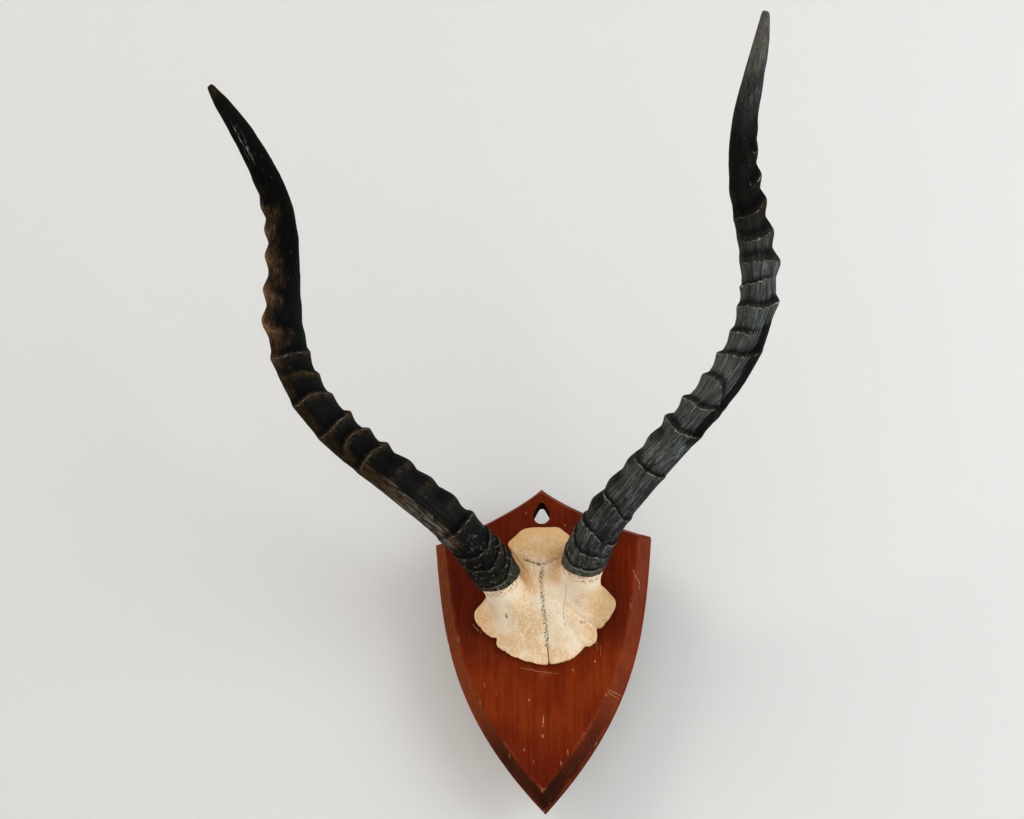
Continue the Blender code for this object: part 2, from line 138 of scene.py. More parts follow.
# What sets the horns apart. A groove has its angle, start, end and depth, and the scored patch its
# start, end, angle and width: angles in degrees from the face to the outer side, the rest along
# the horn. Dust is how dry and pale it looks at the base, along its middle and at the tip.
HORNS = {
    "left": SimpleNamespace(
        side=-1, path=PATH_LEFT, body=BODY_LEFT, rings=RINGS_LEFT, seed=200,
        groove=(27.0, 60.0, 150.0, 0.8), scored=(424.0, 466.0, 22.0, 13.0),
        dust_low=0.14, dust=0.07, dust_tip=0.03,
        soiled_from=252.0, soiled=1.0, soiled_base=1.0, dirt=0.8, crests=0.42),
    "right": SimpleNamespace(
        side=1, path=PATH_RIGHT, body=BODY_RIGHT, rings=RINGS_RIGHT, seed=100,
        groove=(46.0, 140.0, 266.0, 0.6), scored=(119.0, 143.0, 12.0, 15.0),
        dust_low=0.76, dust=1.25, dust_tip=1.0,
        soiled_from=300.0, soiled=0.07, soiled_base=0.0, dirt=0.22, crests=0.95),
}

# Skull plate: its sawn outline as (x, z), and the rise of its middle line over the wood.
SKULL_OUTLINE = (
    (3, 107.5), (10, 107.3), (18, 106.3), (22, 103), (27, 98.5), (30, 91), (35, 81), (43, 72),
    (49, 63), (51, 57), (56.5, 51.5), (61.5, 45.5), (65.5, 40), (66.2, 34.5), (64, 29), (60, 23),
    (55, 17.5), (50.3, 14), (49.3, 9), (46, 2.5), (37, -1.5), (32, -6), (25, -10.5), (16, -13),
    (5, -14.3), (-9, -12), (-17, -9.5), (-24.5, -6.5), (-33, -1), (-38.5, 3.5), (-39.5, 7.5),
    (-46, 12.5), (-52, 18), (-56.5, 24), (-57.8, 29), (-57, 33.5), (-53, 39), (-49.2, 44.5),
    (-46.5, 50), (-45, 57), (-41, 66), (-33, 74), (-25, 82), (-26.5, 89), (-28.5, 93.5),
    (-23, 99.5), (-15, 106), (-8, 107.6),
)
SKULL_CENTRE = (4.5, 45.0)
SKULL_PROFILE_Z = (-14.0, 0.0, 20.0, 40.0, 55.0, 70.0, 82.0, 92.0, 100.0, 108.0)
SKULL_PROFILE_HEIGHT = (7.0, 12.0, 20.0, 27.0, 31.0, 32.0, 31.0, 28.0, 23.0, 16.0)
SKULL_FLATNESS = 3.2                # power by which the bone falls from its middle to its edge
SKULL_EDGE, GAP = 4.0, 0.3          # height of the sawn side, and of the bone over the wood
SKULL_CONTACT = 0.68                # share of the way out up to which the underside lies flat
SKULL_COLUMNS = 420
# Pedicles: where the foot of each lies from its rim as (outward, up), the radii round the foot that
# become its top and its whole slope, the radius of the top, how deep under the rim the top lies,
# and how much deeper the foot does.
PEDICLE_FOOT = (-4.6, -12.6)
PEDICLE_DISC, PEDICLE_REACH, PEDICLE_RADIUS = 9.0, 26.0, 17.6
PEDICLE_SUNK, PEDICLE_HEIGHT = 0.4, 20.0
SUTURE_PATH = ((5.0, 67.0), (4.1, 49.0), (4.7, 33.0), (5.7, 19.0), (6.3, 0.0), (6.9, -14.0))
CORONAL_PATH = ((-24.0, 79.0), (-11.1, 73.1), (-5.7, 71.0), (3.2, 67.9), (10.4, 69.4),
                (16.6, 72.4), (30.0, 79.0))
GROOVE_PATH = ((25.5, 41.0), (22.4, 33.0), (21.8, 21.0))
CREASE_PATH = ((-17.5, 45.0), (-10.4, 34.0))
# Small holes in the bone as (x, z), radius and depth, and nicks of the saw as (x, z), width, depth.
FORAMINA = ((-27.5, 23.0, 0.85, 2.2), (36.5, 19.6, 1.5, 1.0), (39.0, 19.8, 1.2, 0.8),
            (22.4, 18.2, 0.6, 1.2), (-10.0, 12.0, 0.5, 0.5), (14.0, 3.0, 0.6, 0.6))
EDGE_NICKS = ((-41.0, 8.6, 2.8, 2.4), (-45.8, 14.0, 1.3, 1.2), (-20.2, -7.0, 1.5, 1.0),
              (-33.0, 1.5, 1.2, 0.7), (50.3, 14.5, 2.4, 2.2), (37.5, 0.5, 3.0, 1.6),
              (26.0, -8.5, 1.6, 0.8), (7.0, -14.0, 0.9, 1.6), (-7.0, -13.0, 1.2, 0.5),
              (-52.0, 19.5, 1.6, 0.9), (57.0, 20.5, 1.8, 1.0))
# Coloured patches of the bone, as bell curves: x, z, width in x, width in z and strength.
SKULL_SPOTS = {
    "blush": ((20.0, 53.5, 5.5, 5.5, 1.0), (-9.6, 53.2, 6.0, 6.0, 0.7),
              (-39.0, 26.0, 5.0, 12.0, 0.3)),
    # brown: partly stain, partly painted shade in the hollows beside the horns and on the right
    # wing.
    "brown": ((-10.0, 59.0, 6.0, 12.0, 0.8), (17.0, 58.0, 4.5, 10.0, 0.6),
              (-14.0, 44.0, 6.0, 9.0, 0.5), (-22.0, 22.0, 6.0, 15.0, 0.35),
              (60.0, 34.0, 12.0, 15.0, 0.4), (46.0, 8.0, 8.0, 10.0, 0.3)),
    "stain": ((-8.0, 72.0, 4.0, 4.0, 1.0), (-13.0, 57.0, 5.0, 5.0, 1.0),
              (53.0, 37.0, 7.0, 7.0, 1.0), (-48.0, 27.0, 6.0, 6.0, 0.7),
              (-20.0, 86.0, 8.0, 8.0, 0.7), (16.0, 70.0, 4.0, 4.0, 0.5)),
    "bleached": ((17.0, 30.0, 11.0, 22.0, 0.8), (-28.0, 30.0, 8.0, 14.0, 0.7),
                 (3.0, 82.0, 12.0, 9.0, 0.5)),
}

# Shield: half of its outline as two cubic curves of (x, z), and the width of its bevel.
SHIELD_TOP_CURVE = ((0.0, 148.0), (17.0, 132.0), (74.0, 105.0), (97.0, 99.5))
SHIELD_SIDE_CURVE = ((97.0, 99.5), (89.0, 18.0), (83.0, -51.0), (0.0, -137.0))
WOOD_THICKNESS, SHIELD_EDGE = 20.0, 13.0
BEVEL_TOP, BEVEL_SHOULDER, BEVEL_TIP = 3.5, 10.0, 12.5
HOLE_X, HOLE_ASKEW = 0.9, -2.4      # the bore runs a little askew towards the back
HOLE_LOW_Z, HOLE_LOW_RADIUS = 121.0, 7.4
HOLE_TOP_Z, HOLE_TOP_RADIUS = 130.0, 3.1
TOP_COLUMNS, SIDE_COLUMNS = 62, 170
# Where the arrises are worn to bare wood: (x, z) and size.
WORN_SPOTS = ((-58.0, -45.0, 7.0), (-74.0, 10.0, 5.0), (57.0, -46.0, 6.0), (41.0, -78.0, 8.0),
              (1.0, 132.0, 3.0), (31.0, 116.0, 5.0), (0.0, -119.0, 4.0), (0.0, -132.0, 6.0),
              (76.0, 57.0, 5.0), (74.5, 39.0, 5.0), (-32.0, -85.0, 4.0))
SCREW_PLACES = (SKULL_CENTRE[0] - 17.0, SKULL_CENTRE[0] + 17.0)
SCREW_Z = 50.0
# One countersunk hole from the back of the shield to past its face, as (radius, y).
SCREW_HOLE = ((4.65, 1.0), (4.65, -0.8), (2.45, -3.55), (2.45, -22.0))


# ---------------------------------------------------------------- surfaces

def ease(value):
    """0 below 0, 1 above 1, and 3v^2 - 2v^3 between them."""
    value = np.clip(value, 0.0, 1.0)
    return value * value * (3.0 - 2.0 * value)


def ramp(value, start, end):
    """Rises smoothly from 0 at the start to 1 at the end, which may also lie below the start."""
    return ease((value - start) / (end - start))


def bump(distance, width):
    """A bell curve: 1 at no distance, falling as exp(-(distance / width)^2)."""
    return np.exp(-(distance / width) ** 2)


def noise(points, size, seed):
    """Smooth noise from -1 to 1: random values on a lattice of cubes of one size, eased between.

    The lattice is a block of cubes that repeats.
    """
    block = 32
    table = np.random.default_rng(seed).uniform(-1.0, 1.0, (block, block, block))
    cell = np.floor(points / size).astype(int)
    part = ease(points / size - cell)
    total = np.zeros(points.shape[:-1])
    for corner in np.ndindex(2, 2, 2):
        at = (cell + corner) % block
        weight = np.prod(np.where(corner, part, 1.0 - part), axis=-1)
        total += weight * table[at[..., 0], at[..., 1], at[..., 2]]
    return total


def curve_through(points, closed=False):
    """A function of a share 0..1 that follows a natural cubic spline through the points.

    Between two points it is their straight line plus cubic terms in the second derivatives, which
    come from one linear system. A closed curve overlaps its own start so that it joins smoothly.
    """
    knots = np.array(points, dtype=float)
    if closed:
        knots = np.vstack([knots[-4:], knots, knots[:5]])
    chord = np.linalg.norm(np.diff(knots, axis=0), axis=1)
    at = np.concatenate([[0.0], np.cumsum(chord)])
    slope = np.diff(knots, axis=0) / chord[:, None]
    system = np.diag(np.concatenate([[1.0], 2 * (chord[:-1] + chord[1:]), [1.0]]))
    system += np.diag(np.concatenate([[0.0], chord[1:]]), 1)
    system += np.diag(np.concatenate([chord[:-1], [0.0]]), -1)
    right = np.zeros_like(knots)
    right[1:-1] = 6 * np.diff(slope, axis=0)
    bend = np.linalg.solve(system, right)
    first, last = (at[4], at[-5]) if closed else (at[0], at[-1])

    def curve(share):
        where = first + np.asarray(share) * (last - first)
        i = np.clip(np.searchsorted(at, where, side="right") - 1, 0, len(chord) - 1)
        h, u = chord[i][..., None], ((where - at[i]) / chord[i])[..., None]
        v = 1.0 - u
        return (v * knots[i] + u * knots[i + 1]
                + h ** 2 / 6 * ((v ** 3 - v) * bend[i] + (u ** 3 - u) * bend[i + 1]))

    return curve


def unit(vectors):
    """The vectors divided by their lengths."""
    return vectors / np.linalg.norm(vectors, axis=-1, keepdims=True)


def beside(value, path, key=1):
    """The other coordinate of a drawn (x, z) line where one of its coordinates has this value."""
    line = curve_through(path)(np.linspace(0.0, 1.0, 90))
    line = line[np.argsort(line[:, key])]
    return np.interp(value, line[:, key], line[:, 1 - key])


def distance_to(x, z, path):
    """Distance of each point from a line of straight pieces through (x, z) points."""
    away = np.full(x.shape, 1e3)
    for (ax, az), (bx, bz) in zip(path[:-1], path[1:]):
        dx, dz = bx - ax, bz - az
        along = np.clip(((x - ax) * dx + (z - az) * dz) / (dx * dx + dz * dz), 0.0, 1.0)
        away = np.minimum(away, np.hypot(x - ax - along * dx, z - az - along * dz))
    return away


def make_piece(name, points, finish, start=None, end=None, marks=None):
    """One closed mesh from a grid of points in mm, as rows and columns.

    Its columns always join round. Its rows end in a fan to the points `start` and `end`, or join
    round as well when those are left out. Faces are turned so that the volume they hold is
    positive. `marks` are named arrays on the same grid, kept as attributes for the material.
    """
    rows, columns = points.shape[:2]
    index = np.arange(rows * columns).reshape(rows, columns)
    ring = start is None
    low, high = (index, np.roll(index, -1, 0)) if ring else (index[:-1], index[1:])
    quads = np.stack([low, np.roll(low, -1, 1), np.roll(high, -1, 1), high], -1).reshape(-1, 4)
    vertices = points.reshape(-1, 3)
    faces = quads.tolist()
    if not ring:
        first, last = np.full(columns, rows * columns), np.full(columns, rows * columns + 1)
        faces += np.stack([first, np.roll(index[0], -1), index[0]], -1).tolist()
        faces += np.stack([last, index[-1], np.roll(index[-1], -1)], -1).tolist()
        vertices = np.vstack([vertices, start, end])
    a, b, c, d = (vertices[quads[:, k]] for k in range(4))
    volume = np.einsum("ij,ij->", a, np.cross(b, c) + np.cross(c, d))
    if volume < 0.0:
        faces = [face[::-1] for face in faces]
    mesh = bpy.data.meshes.new(name)
    mesh.from_pydata((vertices * MM).tolist(), [], faces)
    for mark, grid in (marks or {}).items():
        grid = np.asarray(grid, dtype=np.float32)
        kind, field = ("FLOAT_VECTOR", "vector") if grid.ndim == 3 else ("FLOAT", "value")
        flat = grid.reshape(rows * columns, -1)
        if not ring:
            flat = np.vstack([flat, *(np.atleast_2d(grid[row].mean(0)) for row in (0, -1))])
        mesh.attributes.new(mark, kind, "POINT").data.foreach_set(field, flat.ravel())
    mesh.shade_smooth()
    mesh.materials.append(finish)
    piece = bpy.data.objects.new(name, mesh)
    bpy.context.scene.collection.objects.link(piece)
    return piece


def take_place(piece, node):
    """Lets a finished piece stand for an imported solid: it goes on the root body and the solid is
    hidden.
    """
    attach(piece, "root")
    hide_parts(node)


# ---------------------------------------------------------------- materials

class Value:
    """A number, colour or vector in a material. Arithmetic with it adds the nodes that it takes."""

    def __init__(self, finish, socket):
        self.finish, self.socket = finish, socket

    def __add__(self, other):
        return self.finish.math("ADD", self, other)

    def __sub__(self, other):
        return self.finish.math("SUBTRACT", self, other)

    def __mul__(self, other):
        """Times a number or another value, or a vector part by part times a tuple."""
        if isinstance(other, tuple):
            return self.finish.vector("MULTIPLY", self, other)
        return self.finish.math("MULTIPLY", self, other)

    def __truediv__(self, other):
        return self.finish.math("DIVIDE", self, other)

    def __abs__(self):
        return self.finish.math("ABSOLUTE", self)

    def at_least(self, other):
        """The larger of the two."""
        return self.finish.math("MAXIMUM", self, other)

    def levels(self, low, high, bottom=0.0, top=1.0):
        """Goes smoothly from bottom to top as the value goes from low to high."""
        return self.finish.add("ShaderNodeMapRange", {0: self, 1: low, 2: high, 3: bottom, 4: top},
                               interpolation_type="SMOOTHSTEP")


class Finish:
    """A procedural material: colours painted over each other, bumps over bumps, and gloss."""

    def __init__(self, name, color):
        self.material = bpy.data.materials.new(name)
        self.material.use_nodes = True
        self.nodes = self.material.node_tree.nodes
        self.links = self.material.node_tree.links
        self.shader = self.nodes["Principled BSDF"]
        self.color, self.normal = color, None

    def feed(self, socket, value):
        """Links a value to a socket, or sets the socket to a plain number, colour or vector."""
        if isinstance(value, Value):
            self.links.new(value.socket, socket)
        elif socket.type == "RGBA":
            socket.default_value = (*value[:3], 1.0)
        else:
            socket.default_value = value

    def add(self, kind, inputs, output=0, **settings):
        """Adds a node and hands back one of its outputs."""
        node = self.nodes.new(kind)
        for key, value in settings.items():
            setattr(node, key, value)
        for key, value in inputs.items():
            self.feed(node.inputs[key], value)
        return Value(self, node.outputs[output])

    def place(self):
        """The point on the object, in metres."""
        return self.add("ShaderNodeTexCoord", {}, "Object")

    def mark(self, name, output="Fac"):
        """A value that the mesh carries."""
        return self.add("ShaderNodeAttribute", {}, output, attribute_name=name)

    def math(self, operation, a, b=0.0):
        return self.add("ShaderNodeMath", {0: a, 1: b}, operation=operation)

    def vector(self, operation, a, b):
        return self.add("ShaderNodeVectorMath", {0: a, 1: b}, operation=operation)

    def split(self, vector):
        """The three parts of a vector."""
        x = self.add("ShaderNodeSeparateXYZ", {0: vector})
        return [Value(self, output) for output in x.socket.node.outputs]

    def noise(self, vector, scale, detail=3.0, rough=0.55):
        return self.add("ShaderNodeTexNoise", {"Vector": vector, "Scale": scale, "Detail": detail,
                                               "Roughness": rough})

    def line(self, place, start, end, width):
        """A mask along a straight scratch from start to end, both (x, z) in mm."""
        x, _, z = self.split(place)
        length = math.dist(start, end)
        ux, uz = (end[0] - start[0]) / length, (end[1] - start[1]) / length
        px, pz = (self.add("ShaderNodeMath", {0: part, 1: 1.0 / MM, 2: -origin},
                           operation="MULTIPLY_ADD") for part, origin in zip((x, z), start))
        across = px * uz - pz * ux
        past_end = (abs(px * ux + pz * uz - length / 2) - length / 2).at_least(0.0)
        away = self.math("POWER", across * across + past_end * past_end, 0.5)
        return away.levels(width, width * 0.4)

    def paint(self, amount, color):
        """Covers what is painted so far with another colour, by an amount from 0 to 1."""
        self.color = self.add("ShaderNodeMix", {0: amount, 6: self.color, 7: color}, 2,
                              data_type="RGBA")

    def bumps(self, height, depth):
        """Raises the surface by a height in 0..1 times a depth in mm, on top of earlier bumps."""
        inputs = {"Height": height, "Distance": depth * MM, "Strength": 1.0}
        if self.normal is not None:
            inputs["Normal"] = self.normal
        self.normal = self.add("ShaderNodeBump", inputs)

    def done(self, roughness, plain):
        """Feeds the shader, sets its plain values by their names and hands back the material."""
        sockets = self.shader.inputs
        self.feed(sockets["Base Color"], self.color)
        self.feed(sockets["Roughness"], roughness)
        if self.normal is not None:
            self.feed(sockets["Normal"], self.normal)
        for name, value in plain.items():
            sockets[name].default_value = value
        return self.material


def horn_finish(name, look, dirt, crests):
    """Near-black horn with pale lengthwise fibres, worn pale crests that carry a painted highlight,
    a painted shadow at the foot of each crest, and brown dirt in the hollows.

    The noises lie on the unbent sheath and are drawn out along it. Hair, fibre, coarse and strand
    are streaks, the first ones finer; flake and patch are blotches; speck is as fine as dust.
    `dirt` says how brown the bands below the crests are, and `crests` how pale the crests and
    their painted highlight are.
    """
    m = Finish(name, look.dark)
    sheath = m.mark("sheath", "Vector")
    hair = m.noise(sheath * (1.0, 1.0, 0.05), 1.7, 3.0, 0.6)
    fibre = m.noise(sheath * (1.0, 1.0, 0.03), 1.25, 4.0, 0.7)
    coarse = m.noise(sheath * (1.0, 1.0, 0.03), 0.8, 3.0, 0.6)
    strand = m.noise(sheath * (1.0, 1.0, 0.06), 0.42, 3.0)
    flake = m.noise(sheath * (1.0, 1.0, 0.4), 0.36, 5.0, 0.65)
    patch = m.noise(sheath * (1.0, 1.0, 0.4), 0.065, 4.0)
    speck = m.noise(sheath, 0.8, 4.0, 0.65)

    dusty, streaky = m.mark("dusty") * patch.levels(0.36, 0.6, 0.5, 1.05), m.mark("streaky")
    m.paint(dusty, look.dry)
    m.paint(m.mark("inner") * dusty * strand.levels(0.35, 0.6, 0.4, 0.9), look.olive)
    m.paint(strand.levels(0.46, 0.62, 0.0, 0.4), look.dark)
    m.paint(hair.levels(0.5, 0.43) * streaky.levels(0.0, 1.0, 0.2, 0.75), look.dark)

    stain = m.mark("brown") * (flake + hair + speck * 0.7).levels(1.14, 1.5, 0.05, 1.0)
    m.paint(stain * hair.levels(0.42, 0.58, 0.5, 1.35), look.dirt)
    # The knobs are partly tan in colour and partly a painted highlight on their tops, rising with
    # their height.
    m.paint(m.mark("knob") * (flake + speck).levels(0.82, 1.08, 0.3, 1.0), look.knob)
    pale = fibre.levels(0.53, 0.59) * flake.levels(0.4, 0.55, 0.25, 1.0)
    shown = dusty.levels(0.1, 0.7, 0.0, 0.85).at_least(m.mark("stringy"))
    m.paint(pale * streaky * shown, look.fibre)
    caught = (speck * 0.7 + flake * 1.3).levels(0.85, 1.12, 0.0, dirt)
    m.paint(m.mark("crest_band") * caught, look.dirt)
    m.paint(m.mark("near_base") * speck.levels(0.44, 0.58, 0.0, 0.8), look.olive)
    m.paint(m.mark("tip") * coarse.levels(0.47, 0.6, 0.15, 1.0), look.frayed)

    vein = abs(m.noise(sheath * (0.4, 0.4, 1.0), 0.13, 4.0, 0.5) - 0.5).levels(0.014, 0.004)
    m.paint(vein * flake.levels(0.46, 0.58, 0.0, 0.4) * m.mark("low"), look.fibre)
    # Painted shadow: a dark line at the foot of each crest's drop.
    m.paint(m.mark("foot") * 0.85, look.dark)
    # The pale crest lines are worn crests with a painted highlight on them.
    near = m.mark("near_crest") + (flake - 0.45) * 3.4 + (speck - 0.5) * 2.4
    rub_and_painted_light = m.noise(sheath, 0.2, 3.0).levels(0.36, 0.56, 0.2 * crests, crests)
    crest_line = near.levels(1.1, 0.35) * rub_and_painted_light
    m.paint(crest_line, look.crest)
    m.paint(m.mark("scored") * coarse.levels(0.54, 0.6) * flake.levels(0.47, 0.55), look.crest)
    chips = flake.levels(0.66, 0.7) * dusty.levels(0.0, 0.4, 0.25, 1.0)
    m.paint(chips * 0.75, look.crest)

    m.bumps(fibre + hair * 0.4, 0.75)
    m.bumps(speck + crest_line + flake.levels(0.6, 0.68), 0.2)
    gloss = (patch + fibre * 0.5).levels(0.5, 1.0, 0.5, 0.7)
    return m.done(gloss, {"Specular IOR Level": 0.02})


def toothed_seams(m, ragged, speck):
    """Dirt in the two toothed sutures: a zigzag line with specks along both sides of it."""
    broken = m.noise(m.place(), 620.0, 2.0).levels(0.4, 0.52, 0.12, 1.0)
    seams = []
    for mark, teeth, pitch, width in (("suture", 0.95, 1.9, 0.5), ("coronal", 0.45, 2.4, 0.65)):
        across, along, strength = m.split(m.mark(mark, "Vector"))
        tooth = (m.math("PINGPONG", along + ragged, pitch / 2) / (pitch / 4) - 1.0) * teeth
        seam = abs(across + ragged - tooth).levels(width, width * 0.3)
        dots = abs(abs(across) - teeth).levels(1.5, 0.5) * speck.levels(0.51, 0.43)
        seam = seam.at_least(dots)
        if mark == "coronal":
            twin = abs(across - tooth - 2.0).levels(0.3, 0.1, 0.0, 0.5)
            seam = seam.at_least(twin)
        seams.append(seam * strength * broken)
    return reduce(Value.at_least, seams)


def bone_finish(look):
    """Dry ivory bone: tan towards its edges, crumbled white at the horns, with toothed sutures;
    painted shade on its right wing, in the hollows beside the horns, and in its crack and holes.
    """
    m = Finish("sawn bone", look.tan)
    place = m.place()
    x, _, z = m.split(place)
    cloud = m.noise(place, 45.0, 4.0)
    veins = m.noise(place * (1.0, 1.0, 0.13), 130.0, 3.0)
    hatch = m.noise(place * (1.0, 1.0, 0.12), 620.0, 3.0, 0.6)
    grain = m.noise(place, 480.0, 4.0, 0.7)
    speck = m.noise(place, 900.0, 3.0, 0.7)
    crumb = speck + grain

    m.paint(veins.levels(0.38, 0.62), look.ivory)
    m.paint(hatch.levels(0.5, 0.4, 0.0, 0.5), look.tan)
    m.paint(hatch.levels(0.54, 0.64, 0.0, 0.6), look.chalk)
    m.paint(speck.levels(0.47, 0.37, 0.0, 0.75), look.ochre)
    m.paint(speck.levels(0.54, 0.64, 0.0, 0.5), look.chalk)
    m.paint(cloud.levels(0.46, 0.62, 0.0, 0.6), look.chalk)
    m.paint(m.mark("bleached") * grain.levels(0.3, 0.6, 0.4, 0.9), look.chalk)
    m.paint(z.levels(0.064, 0.078) * cloud.levels(0.3, 0.62, 0.9, 0.45), look.ochre)
    # The brown spots are partly brown stain and partly painted shade in the hollows beside the
    # horns and on the right wing.
    brown = m.mark("brown")
    m.paint(brown * speck.levels(0.36, 0.6, 1.0, 0.3), look.ochre)
    grime = brown.at_least(z.levels(0.066, 0.076, 0.0, 0.5)) * crumb.levels(1.0, 0.85)
    m.paint(grime * 0.62, look.scurf)
    m.paint(m.mark("edge") * cloud.levels(0.35, 0.6, 0.2, 0.7), look.ochre)
    # Painted shade: the right wing is darkened with brown, as if turned away from the light.
    right_wing_shade = x.levels(0.038, 0.058) * z.levels(0.052, 0.042)
    m.paint(right_wing_shade * grain.levels(0.4, 0.62, 0.55, 0.25), look.scurf)
    m.paint(m.mark("blush") * grain.levels(0.3, 0.6, 0.5, 0.9), look.blush)
    m.paint(m.mark("collar") * 0.7, look.chalk)
    burr = m.mark("burr")
    m.paint(burr * 0.75, look.blush)
    m.paint(burr * crumb.levels(0.94, 1.04), look.chalk)
    m.paint(burr * crumb.levels(0.96, 0.86, 0.0, 0.85), look.scurf)
    m.paint(speck.levels(0.42, 0.34) * cloud.levels(0.55, 0.42, 0.15, 0.7), look.scurf)
    stain = m.mark("stain")
    m.paint(stain * grain.levels(0.54, 0.44, 0.0, 0.6), look.ochre)
    m.paint(stain * speck.levels(0.44, 0.37) * 0.7, look.scurf)

    ragged = (m.noise(place, 900.0, 2.0) - 0.5) * 1.5
    seams = toothed_seams(m, ragged, speck)
    m.paint(seams, look.pore)
    across, _, strength = m.split(m.mark("groove", "Vector"))
    furrow = abs(across + ragged * 0.3).levels(0.4, 0.1) * strength
    m.paint(furrow * speck.levels(0.3, 0.55, 0.25, 0.75), look.pore)
    across, along, _ = m.split(m.mark("suture", "Vector"))
    crack = abs(across + ragged * 0.25).levels(0.5, 0.25) * along.levels(1.0, -0.8)
    pit = m.mark("pit")
    # Painted shade: the open crack and the small holes are drawn near black.
    m.paint(crack.at_least(pit), look.crack)

    m.bumps(grain, 0.22)
    m.bumps(speck * 0.5 - seams, 0.2)
    gloss = grain.levels(0.3, 0.7, 0.6, 0.8).at_least(pit)
    return m.done(gloss, {"Specular IOR Level": 0.25, "Subsurface Weight": 0.06,
                          "Subsurface Scale": 0.003})


# Marks on the face of the shield, each from (x, z) to (x, z), with its width and strength.
SCRATCHES = (
    ((-19.0, -15.2), (-7.0, -17.4), 0.3, 0.45), ((-14.0, -17.0), (-3.0, -18.6), 0.25, 0.3),
    ((-6.0, -18.6), (8.0, -20.0), 0.35, 0.45), ((1.0, -20.4), (15.0, -21.0), 0.25, 0.4),
    ((-2.0, -21.8), (9.0, -22.4), 0.25, 0.25), ((-61.0, 24.5), (-56.0, 18.0), 0.45, 0.4),
    ((-57.5, 21.5), (-53.0, 16.0), 0.3, 0.35), ((58.0, -36.3), (69.0, -41.5), 0.25, 0.7),
    ((57.5, -39.0), (66.0, -43.5), 0.25, 0.7), ((58.0, -36.3), (57.6, -40.0), 0.25, 0.4),
    ((1.2, -57.0), (0.6, -66.0), 0.42, 0.9), ((0.4, -72.8), (0.5, -75.0), 0.7, 1.0),
    ((-15.7, -84.5), (-15.5, -86.0), 0.5, 0.8), ((-28.8, -88.0), (-28.2, -91.0), 0.4, 0.7),
    ((15.6, -95.5), (15.9, -98.5), 0.4, 0.8), ((21.6, -86.0), (21.9, -90.0), 0.4, 0.8),
    ((-11.2, -42.8), (-11.0, -44.0), 0.5, 0.9), ((46.3, -11.0), (46.2, -12.2), 0.6, 0.9),
    ((27.1, -17.8), (27.2, -19.4), 0.45, 0.9), ((-13.3, 123.8), (-13.2, 124.6), 0.5, 0.8),
    ((21.8, 110.6), (21.7, 111.6), 0.5, 0.8), ((21.2, 130.2), (21.2, 131.0), 0.45, 0.7),
    ((81.2, 67.8), (83.5, 62.0), 0.35, 0.8), ((83.5, 62.0), (86.5, 57.0), 0.35, 0.8),
    ((86.5, 57.0), (86.2, 51.0), 0.3, 0.6), ((-8.0, -94.5), (-7.4, -96.0), 0.35, 0.6),
    ((48.0, 8.0), (48.4, -2.0), 0.25, 0.5), ((51.0, 2.0), (51.2, -7.0), 0.22, 0.4),
    ((-40.0, -34.0), (-39.6, -39.0), 0.25, 0.4), ((-50.0, -28.0), (-49.8, -31.0), 0.3, 0.4),
)


